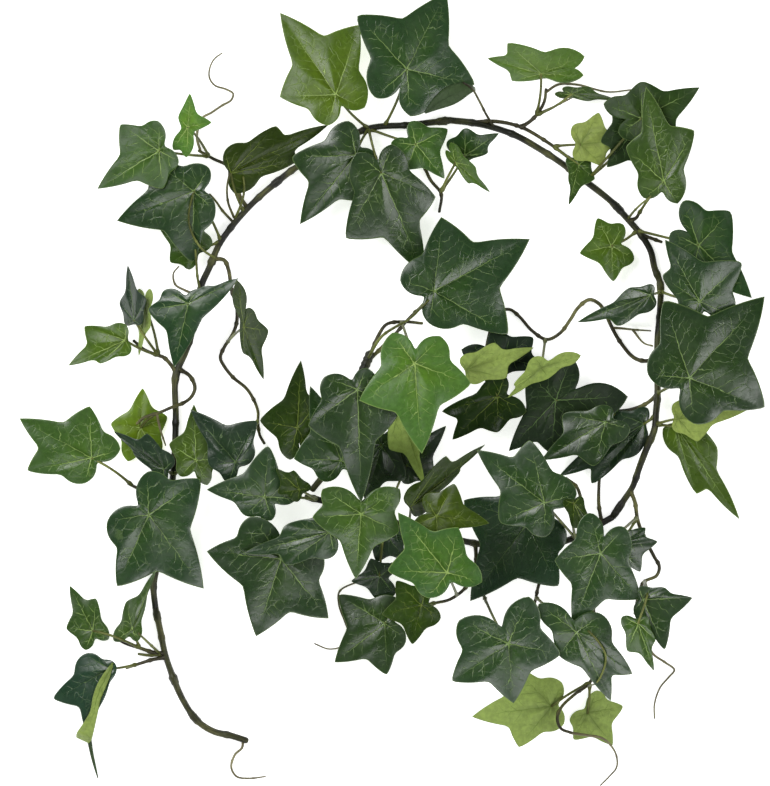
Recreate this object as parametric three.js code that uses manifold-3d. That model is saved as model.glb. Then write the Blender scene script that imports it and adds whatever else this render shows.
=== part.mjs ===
// An ivy garland lying coiled in a loose ring on a flat surface. Millimetres, +Z up.
// Each stem stretch is one tube with its twigs and tendrils, and each leaf is one blade
// grown with its stalk. The leaves are laid one after another, and each one settles on
// whatever already lies below it, so a changed size lays them all again.

import * as THREE from 'three';
import { mergeVertices } from 'three/addons/utils/BufferGeometryUtils.js';
import Module from 'manifold-3d';

const wasm = await Module();
wasm.setup();

// Driving dimensions
const LEAF_SCALE = 1; // every blade about its own junction
const BLADE = 0.6; // blade thickness
const STEM_RADIUS = 1.9;
const BUTT_RADIUS = 2.9; // the wrapped end in the middle of the coil
const TWIG_RADIUS = 1.05;
const TENDRIL_RADIUS = 0.6;
const COLLAR_RADIUS = 2.6; // rings where two stem lengths meet
const COLLAR_LENGTH = 5;
const STALK_RADIUS = 0.75;
const STALK_SINK = 0.5; // how far the head of a stalk lies below the middle of its blade
const KNOB_RADIUS = 1.3; // where stalks share one foot
const CLEARANCE = 0.9; // air kept above whatever lies below
const BED = 4; // lowest place of a blade's junction
const TIP_FLOOR = 0.5; // a drooping tip stays this far above the surface
const DROOP = 0.08; // sag of a blade's rim, as a share of its reach
const MIDDLE = [3, 2]; // plan middle of the whole ring
const RAISE = COLLAR_RADIUS - 2; // lifts the stem routes so that the collars touch the surface

// Facets: sides of a tube, and the length of its steps
const STEM_SIDES = 6;
const STEM_STEP = 13;
const TWIG_SIDES = 4;
const TWIG_STEP = 9;
const FEWEST_STEPS = 3;
const PLACES = 120; // places along a stem or twig that a stalk can stand on

// Shape of a rim
const BAYS = [0.76, 0.84, 0.42, 0.84, 0.76]; // how far out the bays between the lobes lie
const BULGES = [0.1, 0.1, 0.24, 0.24, 0.1]; // how round the lobes are
const SINUS = 2; // the bay that the stalk leaves through, which has straight sides

// The height field and the points that read and write it
const CELL = 1.5;
const REACH = 250;
const SAMPLE = 0.9;

const COLOURS = {
  deep: 0x1c3a24,
  dark: 0x25502c,
  mid: 0x3b6b34,
  light: 0x5b8a37,
  olive: 0x566b2e,
  pale: 0x93ad5c,
};
const STEM_COLOUR = 0x3d4426;

// Stems: name, then the route of its middle line. Places are [x, y, z] before the ring is
// centred, and each stretch starts a little way from the end of the one before.
const STEMS = {
  stem_tail: [
    [-77, -192, 2], [-85, -189.5, 2], [-95, -187, 2], [-104, -181, 2], [-111.5, -170, 2],
    [-117, -157.5, 2], [-121.5, -144, 2], [-124, -132, 2], [-126.6, -119.5, 2],
  ],
  stem_west: [
    [-127, -118.4, 2], [-128, -108, 2], [-126, -95, 2], [-121, -70, 2], [-117, -45, 2.2],
    [-115.5, -15, 2.4], [-115.5, 9.5, 2.6], [-110, 23, 2.6], [-107, 32, 2.6], [-104, 50, 2.6],
    [-101, 61, 2.4], [-97.3, 69, 2.2], [-93.7, 78, 2], [-92.2, 81.3, 2],
  ],
  stem_crown: [
    [-91.6, 82.4, 2], [-89, 86.5, 2], [-82, 95.5, 2.2], [-71, 107, 2.4], [-58, 118, 2.6],
    [-50, 124, 2.8], [-35, 133, 3], [-9, 146, 3], [12.6, 148, 2.6], [36, 150.7, 2],
  ],
  stem_east: [
    [37.2, 150.7, 2], [49.5, 149.3, 2], [60.5, 146.6, 2.2], [72, 142.5, 2.4], [84, 135.8, 2.4],
    [96.6, 127.6, 2.4], [111, 116.8, 2.4], [125, 105.7, 2.2], [135, 95, 2], [141.3, 87.6, 2],
    [146.7, 78.6, 2], [149, 69, 2], [152, 61, 2], [152.4, 54, 2],
  ],
  stem_south_east: [
    [152.4, 52.8, 2], [152, 44, 2.2], [150.7, 30, 2.8], [150.5, 8, 5], [150.3, -2, 8],
    [149.4, -11, 10.5], [148.5, -20, 11], [144, -31, 10.5], [140.3, -41, 7], [136.7, -51.6, 5],
    [132, -59, 3.2], [126, -68, 2],
  ],
  stem_south: [
    [125.2, -69, 2], [105, -80, 2], [80, -86, 2.2], [50, -83, 2.4], [25, -77, 2.6],
    [0, -70, 2.6], [-25, -62, 2.2], [-43, -57.5, 2],
  ],
  stem_centre: [
    [-40, -53, 2], [-30, -40, 2.4], [-20, -20, 3], [-15, 5, 3.4], [-8, 22, 3.4],
  ],
};

// Twigs, tendrils and thicker stretches: the stem they grow on, radius, route.
const TWIGS = [
  ['stem_centre', BUTT_RADIUS, [[-17, -6, 3.2], [-15, 5, 3.6], [-11, 15, 3.8], [-8, 22, 3.6]]],
  ['stem_centre', TWIG_RADIUS, [[-9, 19, 3.8], [-3, 33, 4], [1, 38, 4], [9, 39.4, 3], [20.7, 38.5, 2]]],
  ['stem_centre', TWIG_RADIUS, [[-10, 17, 3.8], [6, 33, 4], [13, 41, 3], [17, 45, 2]]],
  ['stem_tail', TENDRIL_RADIUS, [
    [-78.5, -191.6, 2], [-79, -196, 1.6], [-83, -200, 1], [-85, -207, 1], [-82, -212, 1],
    [-75, -213, 1], [-66, -212, 1],
  ]],
  ['stem_tail', TWIG_RADIUS, [
    [-121.5, -144, 2], [-129, -143, 3], [-135, -141, 3.4], [-143, -138.5, 3], [-148, -136, 2.4],
  ]],
  ['stem_tail', TWIG_RADIUS, [[-121, -146, 2], [-129, -147.5, 2.6], [-137, -150, 2], [-143, -152, 2]]],
  ['stem_west', TWIG_RADIUS, [
    [-115.5, 12, 2.4], [-122, 19.5, 2.6], [-126, 21, 3], [-133, 24, 2.6], [-139, 29, 2],
  ]],
  ['stem_west', TWIG_RADIUS, [
    [-113.5, 13, 2.6], [-108, 9.6, 3], [-105, 3, 3.6], [-107, -2.2, 4.4], [-111.5, -5.6, 6],
    [-117, -7.6, 7.5], [-125, -11, 8], [-133, -13.6, 7.5], [-137, -17, 7],
  ]],
  ['stem_west', TENDRIL_RADIUS, [[-126, -11.4, 8], [-124, -20, 8], [-121, -29, 7]]],
  ['stem_west', TWIG_RADIUS, [[-119, -60, 2], [-124, -57, 2.4], [-134, -53.8, 2.4], [-142, -50, 2]]],
  ['stem_west', TWIG_RADIUS, [
    [-95.5, 74, 2], [-89, 73.5, 2], [-86.5, 68, 2], [-85.5, 62, 2], [-84.5, 56, 2], [-82, 48, 2],
    [-82, 39, 2], [-84, 33, 2], [-89, 25, 2], [-91, 19.5, 2], [-89, 15, 2], [-84, 8.7, 2],
    [-76.5, 2.4, 2], [-72, -5, 2], [-70.2, -10.5, 2], [-70.2, -15.5, 2], [-69.3, -23, 2],
    [-66.6, -28, 2],
  ]],
  ['stem_west', TENDRIL_RADIUS, [[-104, 54, 2.6], [-111, 57, 2], [-116, 60, 1], [-117, 66, 1], [-114, 70, 1]]],
  ['stem_crown', TWIG_RADIUS, [
    [-76, 102, 2.2], [-81, 110, 2], [-85.5, 119, 2], [-86.5, 125, 2], [-95, 129.5, 2],
    [-103, 134, 2],
  ]],
  ['stem_crown', TENDRIL_RADIUS, [
    [-102, 133.6, 2], [-104, 142, 1.4], [-101, 152, 1], [-96, 155, 1], [-90, 159, 1],
    [-85, 162, 1], [-84, 165.5, 1], [-88, 168, 1], [-94, 170, 1], [-97, 174, 1], [-97, 179, 1],
    [-94.5, 184.5, 1], [-90, 188, 1],
  ]],
  ['stem_crown', TWIG_RADIUS, [[12.6, 148, 2.4], [20, 130, 2], [25, 118, 2], [31, 110, 2], [30, 100, 2]]],
  ['stem_east', TWIG_RADIUS, [
    [47, 149.6, 2], [62, 150, 3], [75, 147, 3.2], [86, 141, 3.4], [97.5, 133, 3.2],
    [106, 126, 3], [112, 118, 2.4],
  ]],
  ['stem_east', TWIG_RADIUS, [[75, 146.8, 3.2], [80, 150, 3], [84, 154, 3], [88, 161, 3], [89, 168, 3]]],
  ['stem_east', TENDRIL_RADIUS, [[84, 154, 3], [95, 159, 2.4], [104, 163.5, 2]]],
  ['stem_east', TENDRIL_RADIUS, [
    [88.7, 166, 3], [95.7, 170.5, 1.4], [106, 170.5, 1], [123, 166.5, 1], [136, 167.6, 1],
  ]],
  ['stem_east', TWIG_RADIUS, [[135, 95, 2], [139, 97, 2.4], [141, 101, 2.4]]],
  ['stem_east', TWIG_RADIUS, [[141.3, 87.6, 2], [147, 85.6, 2.4], [153, 83.4, 2.4]]],
  ['stem_south_east', TWIG_RADIUS, [
    [150.6, 19.5, 3.6], [144, 17.7, 3], [137.6, 19.5, 2.4], [130.4, 27.6, 2], [126, 35, 2],
    [121.4, 44.8, 2], [118.3, 49.3, 2], [113, 51.6, 2], [106.6, 47, 2], [102.5, 40.7, 2],
    [96.6, 33, 2], [89.4, 29.6, 2], [81.3, 34.4, 2], [74, 42.5, 2], [68.6, 46.2, 2],
    [62, 44, 2], [57, 30, 2], [54, 8, 2],
  ]],
  ['stem_south_east', TENDRIL_RADIUS, [[125.5, 36, 2], [130, 35.8, 1.8], [137.6, 35, 1.6], [147, 34.4, 1.6]]],
  ['stem_south_east', TENDRIL_RADIUS, [[137, 34.9, 1.6], [143, 27.6, 2], [148, 26, 2]]],
  ['stem_south_east', TWIG_RADIUS, [[150.3, -1, 7], [144, -6, 5], [136, -9, 3.4], [128, -10, 2]]],
  ['stem_south_east', TWIG_RADIUS, [
    [135.5, -54, 4.4], [138, -60, 3.4], [139.5, -69.6, 2.6], [142, -77, 2.4], [148.5, -90, 2.4],
    [151.6, -96, 2.4], [150, -101, 2.4], [143, -104.5, 2.4], [140, -112, 2], [138, -122, 2],
  ]],
  ['stem_south_east', TENDRIL_RADIUS, [
    [138, -121, 2], [144, -135, 1.4], [148, -144, 1], [155, -149, 1], [160, -153, 1],
    [157, -157, 1], [152, -163, 1], [149, -172, 1], [149, -180, 1],
  ]],
  ['stem_south', TWIG_RADIUS, [[80, -86, 2.2], [86, -98, 2], [84, -110, 2], [82.6, -117, 2]]],
  ['stem_south', TWIG_RADIUS, [[50, -83, 2.4], [50, -96, 2], [45, -107, 2], [36, -114, 2], [28, -116, 2]]],
  ['stem_south', TWIG_RADIUS, [[48, -100, 2], [53, -108, 2], [56, -116, 2]]],
  ['stem_south', TWIG_RADIUS, [[112, -76, 2], [109.6, -69.6, 2], [108.7, -61, 2], [106, -52, 2], [100, -47, 2]]],
  ['stem_south', TWIG_RADIUS, [[120, -72.5, 2], [118.2, -62, 2], [118.2, -52, 2], [118.7, -45, 2]]],
  ['stem_south', TWIG_RADIUS, [
    [112, -76, 2], [112, -100, 2], [116, -125, 2], [119, -145, 2.4], [113, -160, 4],
    [105, -166, 8], [97.5, -173, 9], [95, -179, 9.5], [97, -185, 9.5], [103, -187.5, 9.5],
  ]],
  ['stem_south', TENDRIL_RADIUS, [
    [102, -187.4, 9.5], [113, -189, 9.5], [120, -190.5, 8.5], [125, -195, 6], [128, -201, 2.5],
    [128, -207, 1], [124, -212, 1], [119, -217, 1],
  ]],
];

// Collars: the stem they sit on and the place along its route, from 0 to 1.
const COLLARS = [
  ['stem_tail', 0.32], ['stem_tail', 0.58], ['stem_tail', 0.96], ['stem_west', 0.63],
  ['stem_west', 0.96], ['stem_crown', 0.31], ['stem_crown', 0.97], ['stem_east', 0.45],
  ['stem_east', 0.66], ['stem_east', 0.97], ['stem_south_east', 0.95],
];

// Leaves. Each row: name, colour, junction, the tips of the middle, left, left base, right
// base and right lobes, the way that it rises [azimuth, degrees], the foot of its stalk,
// and, where it shares that foot, the name of the leaf that it grows with. The tips run
// counterclockwise when the upper face is up, and clockwise when the underside is.
// Blades that lie beneath a stem come first.
const BENEATH = [
  ['west_lime', 'light', [-135, -19], [-134, 3, -152, -17, -142, -38, -125, -35, -120, -13],
    [180, 2], [-127, -12]],
  ['east_grey', 'deep', [143, -17], [96, -46, 114, -51, 143, -29, 145, -8, 126, -10],
    [30, 3], [149, -12]],
  ['south_pale', 'pale', [92, -173], [48, -179, 71, -151, 98, -160, 99, -183, 74, -196],
    [120, 3], [113, -160]],
  ['south_pale_small', 'pale', [112, -177], [126, -195, 104, -192, 102, -180, 117, -164, 132, -173],
    [60, 3], [113, -160], 'south_pale'],
];

const ABOVE = [
  // north-west
  ['west_top_low', 'mid', [-105, 79], [-125, 92, -119, 72, -108, 68, -95, 83, -104, 99],
    [110, 20], [-92, 85]],
  ['west_top_big', 'dark', [-105, 111], [-148, 95, -106, 71, -93, 100, -96, 124, -128, 129],
    [70, 12], [-92, 85], 'west_top_low'],
  ['west_top_outer', 'mid', [-124, 133], [-158, 112, -122, 112, -113, 127, -124, 149, -145, 147],
    [120, 25], [-97, 131]],
  ['west_top_small', 'light', [-108, 146], [-106, 165, -119, 150, -117, 137, -108, 130, -94, 148],
    [60, 40], [-97, 131], 'west_top_outer'],
  ['west_top_inner', 'olive', [-85, 121], [-31, 148, -60, 147, -88, 133, -83, 110, -48, 128],
    [120, 40], [-78, 100]],
  // north
  ['crown_dark_left', 'dark', [-16, 131], [-47, 93, -10, 106, -4, 130, -20, 150, -52, 130],
    [60, 8], [-9, 146]],
  ['crown_grey', 'mid', [17, 137], [33, 118, 35, 146, 14, 150, 3, 138, 12, 123],
    [200, 15], [-9, 146], 'crown_dark_left'],
  ['crown_mid', 'dark', [44, 131], [63, 143, 44, 147, 33, 138, 39, 126, 57, 132],
    [60, 30], [30, 111]],
  ['crown_blade', 'light', [39, 127], [58, 110, 50, 124, 36, 138, 33, 134, 46, 115],
    [30, 55], [30, 111], 'crown_mid'],
  ['crown_left', 'light', [-27, 164], [-58, 210, -58, 163, -31, 147, -11, 157, -14, 203],
    [300, 10], [-9, 146]],
  ['crown_right', 'dark', [12, 178], [34, 221, -16, 208, -6, 162, 14, 152, 50, 170],
    [200, 10], [0, 146]],
  ['crown_dark_big', 'dark', [-2, 121], [22, 65, 28, 108, 4, 137, -16, 132, -22, 85],
    [100, 10], [-9, 146]],
  // north-east
  ['upper_light', 'light', [86, 176], [56, 184, 70, 172, 110, 175, 110, 185, 67, 192],
    [90, 55], [84, 153]],
  ['upper_blade', 'mid', [103, 165], [128, 162, 113, 169, 97, 168, 93, 165, 113, 161],
    [90, 50], [84, 153], 'upper_light'],
  ['ne_spike', 'mid', [107, 126], [101, 103, 116, 118, 113, 130, 100, 130, 101, 116],
    [250, 30], [93, 137]],
  ['ne_pale', 'pale', [108, 137], [133, 140, 120, 125, 104, 129, 103, 147, 118, 155],
    [0, 12], [93, 137], 'ne_spike'],
  ['ne_back', 'deep', [140, 149], [122, 124, 145, 121, 156, 140, 128, 160, 118, 138],
    [200, 8], [112, 118]],
  ['ne_dark', 'dark', [141, 151], [173, 168, 141, 172, 120, 159, 128, 142, 158, 133],
    [320, 12], [112, 118], 'ne_back'],
  ['ne_front', 'mid', [153, 116], [143, 168, 132, 135, 142, 107, 161, 104, 170, 144],
    [90, 10], [140, 99]],
  // east
  ['east_small', 'light', [125, 81], [107, 77, 126, 61, 138, 74, 132, 93, 117, 97],
    [200, 12], [140, 90]],
  ['east_top', 'dark', [172, 81], [201, 52, 190, 100, 163, 106, 156, 88, 166, 54],
    [330, 10], [140, 90], 'east_small'],
  ['east_inner', 'dark', [146, 54], [106, 39, 128, 36, 149, 48, 148, 60, 134, 58],
    [0, 20], [152, 56]],
  ['east_mid', 'dark', [172, 50], [153, 84, 151, 64, 166, 38, 190, 42, 196, 72],
    [150, 8], [152, 56], 'east_inner'],
  ['east_tail', 'mid', [160, -18], [196, -70, 183, -30, 172, -10, 153, -20, 172, -56],
    [40, 30], [149, -17]],
  ['east_pale', 'pale', [161, -14], [200, -9, 172, -27, 158, -20, 158, -6, 185, 0],
    [100, 12], [149, -17], 'east_tail'],
  ['east_big', 'dark', [166, 8], [208, 53, 152, 51, 143, 10, 168, -17, 208, -8],
    [225, 8], [150, 0]],
  // west
  ['west_curl', 'pale', [-132, 47], [-136, 20, -137, 38, -136, 58, -129, 58, -129, 36],
    [0, 55], [-125, 21]],
  ['west_spike', 'deep', [-138, 40], [-142, 71, -147, 50, -143, 37, -134, 37, -131, 52],
    [0, 45], [-125, 21], 'west_curl'],
  ['west_bright', 'light', [-143, 29], [-175, 15, -157, 16, -140, 22, -143, 38, -166, 37],
    [340, 12], [-125, 21], 'west_curl'],
  ['west_dark', 'dark', [-108, 49], [-116, 14, -80, 63, -102, 57, -121, 57, -131, 46],
    [30, 15], [-108, 30]],
  ['west_star', 'mid', [-162, -36], [-202, -14, -198, -43, -166, -50, -146, -31, -163, -7],
    [90, 8], [-140, -51]],
  ['west_dark_small', 'deep', [-122, -42], [-150, -21, -139, -34, -121, -50, -115, -37, -131, -22],
    [50, 30], [-117, -44]],
  ['west_round', 'mid', [-104, -37], [-105, -6, -119, -28, -113, -46, -98, -51, -90, -36],
    [80, 12], [-117, -44], 'west_dark_small'],
  ['west_low_big', 'dark', [-130, -67], [-100, -108, -101, -47, -131, -43, -153, -70, -148, -107],
    [90, 8], [-122, -74]],
  ['west_hanging', 'olive', [-77, 36], [-66, 7, -63, 34, -74, 47, -81, 62, -78, 22],
    [0, 50], [-87, 28]],
  // the tail's sprig
  ['tail_curl', 'mid', [-139, -130], [-126, -97, -143, -115, -150, -137, -136, -137, -131, -113],
    [340, 40], [-136, -141]],
  ['tail_green', 'mid', [-161, -131], [-174, -106, -176, -130, -165, -142, -152, -136, -159, -113],
    [60, 8], [-136, -141], 'tail_curl'],
  ['tail_dark', 'deep', [-151, -152], [-159, -213, -147, -180, -144, -151, -160, -143, -184, -169],
    [10, 20], [-137, -150]],
  // inside the ring, low
  ['inner_wide', 'deep', [-82, -38], [-107, -9, -97, -40, -86, -50, -72, -36, -70, -15],
    [45, 10], [-70, -15]],
  ['mid_black', 'deep', [94, -4], [68, -32, 92, -34, 134, -2, 103, 20, 78, 12],
    [200, 6], [128, -10]],
  ['centre_back', 'deep', [12, -40], [34, -18, 14, -22, 4, -36, 10, -50, 27, -49],
    [200, 8], [0, -70]],
  ['south_dark', 'deep', [-1, -76], [12, -93, 14, -79, 2, -65, -12, -73, -5, -94],
    [120, 8], [0, -70], 'centre_back'],
  ['south_small', 'deep', [-3, -101], [-19, -104, -5, -114, 6, -112, 6, -95, -8, -91],
    [40, 8], [0, -70], 'centre_back'],
  ['south_blue', 'deep', [78, -72], [47, -115, 96, -107, 100, -76, 78, -50, 43, -59],
    [60, 6], [80, -86]],
  ['mid_shadow', 'deep', [64, 20], [88, 14, 82, 31, 58, 34, 42, 24, 56, 5],
    [0, 6], [55, 14]],
  ['mid_olive', 'olive', [62, -2], [37, -26, 62, -22, 78, -10, 66, 10, 31, -10],
    [20, 8], [55, 14], 'mid_shadow'],
  ['pale_inner', 'pale', [45, 13], [82, 25, 67, 8, 47, 5, 41, 19, 60, 28],
    [100, 20], [55, 14], 'mid_shadow'],
  ['centre_blue', 'deep', [-2, -29], [-11, -61, 12, -48, 8, -20, -9, -14, -20, -38],
    [200, 8], [-17, -10]],
  ['centre_pale', 'pale', [8, -8], [22, -51, 2, -31, 0, -5, 16, -4, 21, -31],
    [100, 20], [-17, -10], 'centre_blue'],
  ['centre_spike', 'olive', [-48, -19], [-46, 18, -69, -15, -52, -37, -41, -33, -37, -6],
    [60, 15], [-32, -42]],
  ['centre_left', 'dark', [-24, -37], [-41, 4, -50, -36, -33, -49, -12, -42, -16, -16],
    [100, 8], [-26, -31]],
  ['pale_strip', 'pale', [86, 14], [67, -3, 70, 4, 82, 20, 108, 21, 90, 8],
    [120, 40], [89, 30]],
  ['mid_right', 'dark', [121, -16], [86, -37, 115, -41, 135, -20, 124, -7, 97, -11],
    [30, 8], [128, -10]],
  // inside the ring, high
  ['inner_grey', 'dark', [-66, -57], [-98, -53, -77, -68, -62, -70, -48, -58, -64, -28],
    [100, 8], [-38, -57]],
  ['inner_olive', 'olive', [-47, -53], [-60, -41, -59, -55, -48, -60, -40, -52, -50, -42],
    [140, 12], [-38, -57], 'inner_grey'],
  ['sw_big', 'dark', [-57, -91], [-71, -134, -31, -124, -35, -86, -73, -67, -98, -87],
    [90, 8], [-30, -61]],
  ['sw_long', 'dark', [-30, -76], [-78, -88, -55, -95, -27, -89, -26, -62, -55, -72],
    [60, 15], [-12, -66]],
  ['south_mid', 'mid', [-13, -66], [-16, -102, 8, -76, 8, -52, -34, -52, -40, -68],
    [90, 10], [2, -71]],
  ['slim_blade', 'olive', [14, -62], [55, -28, 33, -34, 10, -57, 17, -68, 42, -42],
    [130, 50], [12, -73]],
  ['olive_mid', 'olive', [28, -67], [57, -71, 38, -49, 21, -56, 15, -72, 29, -81],
    [0, 10], [12, -73], 'slim_blade'],
  ['centre_front', 'dark', [-15, 2], [-13, -60, 8, -11, -10, 14, -33, 9, -42, -18],
    [90, 8], [-18, -12]],
  ['mid_big', 'dark', [87, -60], [50, -31, 62, -71, 88, -79, 105, -55, 79, -25],
    [40, 8], [105, -80]],
  ['slim_olive', 'olive', [103, -60], [112, -80, 111, -68, 107, -56, 97, -58, 102, -74],
    [0, 45], [105, -80], 'mid_big'],
  ['centre_dark', 'dark', [27, 56], [80, 85, 31, 97, 8, 62, 24, 38, 68, 32],
    [240, 8], [16, 44]],
  ['centre_light', 'light', [16, 16], [20, -33, 47, 5, 30, 31, 4, 33, -14, -4],
    [270, 8], [9, 39]],
  // south
  ['south_star', 'dark', [0, -127], [-28, -149, 1, -156, 12, -136, 7, -113, -26, -111],
    [20, 8], [28, -116]],
  ['south_olive', 'olive', [20, -117], [-2, -122, 15, -139, 31, -124, 24, -107, 6, -103],
    [200, 10], [28, -116], 'south_star'],
  ['sage', 'light', [34, -98], [7, -65, 1, -97, 24, -112, 53, -103, 40, -73],
    [60, 8], [40, -111]],
  ['se_side', 'dark', [128, -84], [151, -82, 144, -74, 125, -76, 124, -91, 141, -99],
    [180, 15], [139, -69]],
  ['se_big', 'dark', [117, -87], [102, -127, 139, -112, 130, -72, 111, -64, 92, -91],
    [80, 8], [139, -69], 'se_side'],
  ['se_low', 'dark', [104, -130], [123, -168, 135, -153, 118, -120, 83, -114, 94, -143],
    [100, 8], [84, -113]],
  ['se_corner', 'dark', [140, -112], [167, -111, 152, -105, 138, -105, 135, -119, 152, -140],
    [20, 12], [144, -104]],
  ['se_green', 'mid', [137, -125], [146, -151, 147, -134, 142, -121, 128, -121, 131, -140],
    [200, 25], [144, -104], 'se_corner'],
  ['south_big', 'dark', [67, -136], [70, -169, 96, -142, 78, -110, 40, -123, 36, -157],
    [90, 8], [55, -113]],
];

const radians = THREE.MathUtils.degToRad;
const centred = (x, y) => new THREE.Vector2(x - MIDDLE[0], y - MIDDLE[1]);
const turned = (v) => new THREE.Vector2(-v.y, v.x);

// The height field holds the top of everything laid so far.
const cells = Math.ceil((2 * REACH) / CELL);
const field = new Float64Array(cells * cells);
const cellOf = (v) => THREE.MathUtils.clamp(Math.floor((v + REACH) / CELL), 1, cells - 2);

function heightAt(x, y) {
  const i = cellOf(x);
  const j = cellOf(y);
  let top = 0;
  for (let a = i - 1; a <= i + 1; a += 1) {
    for (let b = j - 1; b <= j + 1; b += 1) top = Math.max(top, field[a * cells + b]);
  }
  return top;
}

// Points spread over the triangles of a geometry.
function spread(geometry) {
  const place = geometry.getAttribute('position');
  const index = geometry.getIndex();
  const corners = [new THREE.Vector3(), new THREE.Vector3(), new THREE.Vector3()];
  const found = [];
  for (let k = 0; k < index.count; k += 3) {
    corners.forEach((corner, m) => corner.fromBufferAttribute(place, index.getX(k + m)));
    const [a, b, c] = corners;
    const longest = Math.max(a.distanceTo(b), b.distanceTo(c), c.distanceTo(a));
    const steps = Math.ceil(longest / SAMPLE);
    for (let i = 0; i <= steps; i += 1) {
      for (let j = 0; j <= steps - i; j += 1) {
        const point = a.clone().multiplyScalar(1 - (i + j) / steps);
        point.addScaledVector(b, i / steps).addScaledVector(c, j / steps);
        found.push(point);
      }
    }
  }
  return found;
}

function stamp(geometry) {
  for (const point of spread(geometry)) {
    const k = cellOf(point.x) * cells + cellOf(point.y);
    field[k] = Math.max(field[k], point.z);
  }
}

// Between a three.js geometry and a solid that can be joined to others
function mergedMesh(geometry) {
  const bare = geometry.clone();
  bare.deleteAttribute('normal');
  bare.deleteAttribute('uv');
  return mergeVertices(bare, 1e-4);
}

function toSolid(geometry) {
  const merged = mergedMesh(geometry);
  const vertProperties = new Float32Array(merged.getAttribute('position').array);
  const triVerts = new Uint32Array(merged.getIndex().array);
  return new wasm.Manifold(new wasm.Mesh({ numProp: 3, vertProperties, triVerts }));
}

function toGeometry(solid) {
  const mesh = solid.getMesh();
  const geometry = new THREE.BufferGeometry();
  geometry.setAttribute('position', new THREE.BufferAttribute(mesh.vertProperties, 3));
  geometry.setIndex(new THREE.BufferAttribute(mesh.triVerts, 1));
  return geometry;
}

const unite = (solids) => solids.slice(1).reduce((sum, next) => sum.add(next), solids[0]);

// Tubes
function tube(curve, radius, sides, steps) {
  const section = new THREE.Shape();
  for (let k = 0; k < sides; k += 1) {
    const turn = (2 * Math.PI * k) / sides;
    const corner = [radius * Math.cos(turn), radius * Math.sin(turn)];
    if (k === 0) section.moveTo(...corner);
    else section.lineTo(...corner);
  }
  section.closePath();
  return new THREE.ExtrudeGeometry(section, { steps, extrudePath: curve, bevelEnabled: false });
}

function routeCurve(route) {
  const place = ([x, y, z]) => new THREE.Vector3(x - MIDDLE[0], y - MIDDLE[1], z + RAISE);
  const points = route.map(place);
  return new THREE.CatmullRomCurve3(points, false, 'centripetal');
}

function routeTube(curve, radius) {
  const sides = radius > TWIG_RADIUS ? STEM_SIDES : TWIG_SIDES;
  const step = radius > TWIG_RADIUS ? STEM_STEP : TWIG_STEP;
  return tube(curve, radius, sides, Math.max(FEWEST_STEPS, Math.round(curve.getLength() / step)));
}

const middleLines = []; // places on the stems and twigs that a stalk can stand on

function stemSolids() {
  const grown = {};
  for (const [name, route] of Object.entries(STEMS)) {
    const curve = routeCurve(route);
    grown[name] = [toSolid(routeTube(curve, STEM_RADIUS))];
    middleLines.push(...curve.getSpacedPoints(PLACES));
  }
  for (const [name, radius, route] of TWIGS) {
    const curve = routeCurve(route);
    grown[name].push(toSolid(routeTube(curve, radius)));
    if (radius >= TWIG_RADIUS) middleLines.push(...curve.getSpacedPoints(PLACES));
  }
  for (const [name, share] of COLLARS) {
    const curve = routeCurve(STEMS[name]);
    const half = COLLAR_LENGTH / 2 / curve.getLength();
    const ends = [share - half, Math.min(1, share + half)].map((u) => curve.getPointAt(u));
    grown[name].push(toSolid(tube(new THREE.LineCurve3(...ends), COLLAR_RADIUS, STEM_SIDES, 1)));
  }
  return grown;
}

// Blades
function rim(tips) {
  const points = [];
  const shoulder = (tip, bay, bulge) => {
    const run = tip.clone().sub(bay);
    const side = Math.sign(tip.cross(bay));
    return tip.clone().add(bay).multiplyScalar(0.5).addScaledVector(turned(run), side * bulge);
  };
  tips.forEach((tip, k) => {
    const next = tips[(k + 1) % tips.length];
    const bay = tip.clone().add(next).multiplyScalar(BAYS[k] / 2);
    const after = BULGES[(k + 1) % tips.length];
    if (k === SINUS) points.push(tip, bay);
    else points.push(tip, shoulder(tip, bay, BULGES[k]), bay, shoulder(next, bay, after));
  });
  return points;
}

function readLeaf([name, colour, at, tipList, [azimuth, degrees], foot, host]) {
  const junction = centred(...at);
  const tips = [];
  for (let k = 0; k < tipList.length; k += 2) {
    const tip = centred(tipList[k], tipList[k + 1]).sub(junction);
    tips.push(tip.multiplyScalar(LEAF_SCALE));
  }
  const uphill = new THREE.Vector2(Math.cos(radians(azimuth)), Math.sin(radians(azimuth)));
  return { name, colour, junction, tips, uphill, tilt: radians(degrees), foot: centred(...foot), host };
}

// A blade with its junction at z, as a closed sheet fanned out from the junction.
function blade(leaf, z) {
  const reach = Math.max(...leaf.tips.map((tip) => tip.length()));
  const half = BLADE / 2 / Math.cos(leaf.tilt);
  const edge = rim(leaf.tips);
  if (THREE.ShapeUtils.area(edge) < 0) edge.reverse();
  const lift = (p) => Math.tan(leaf.tilt) * p.dot(leaf.uphill) - (DROOP * p.lengthSq()) / reach;
  const corners = [new THREE.Vector2(), ...edge];
  const places = [half, -half].flatMap((offset) =>
    corners.flatMap((p) => [p.x + leaf.junction.x, p.y + leaf.junction.y, z + lift(p) + offset]),
  );
  const under = corners.length;
  const index = [];
  edge.forEach((_, k) => {
    const here = k + 1;
    const next = ((k + 1) % edge.length) + 1;
    index.push(0, here, next, under, under + next, under + here);
    index.push(under + here, under + next, next, under + here, next, here);
  });
  const geometry = new THREE.BufferGeometry();
  geometry.setAttribute('position', new THREE.Float32BufferAttribute(places, 3));
  geometry.setIndex(index);
  return geometry;
}

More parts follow.
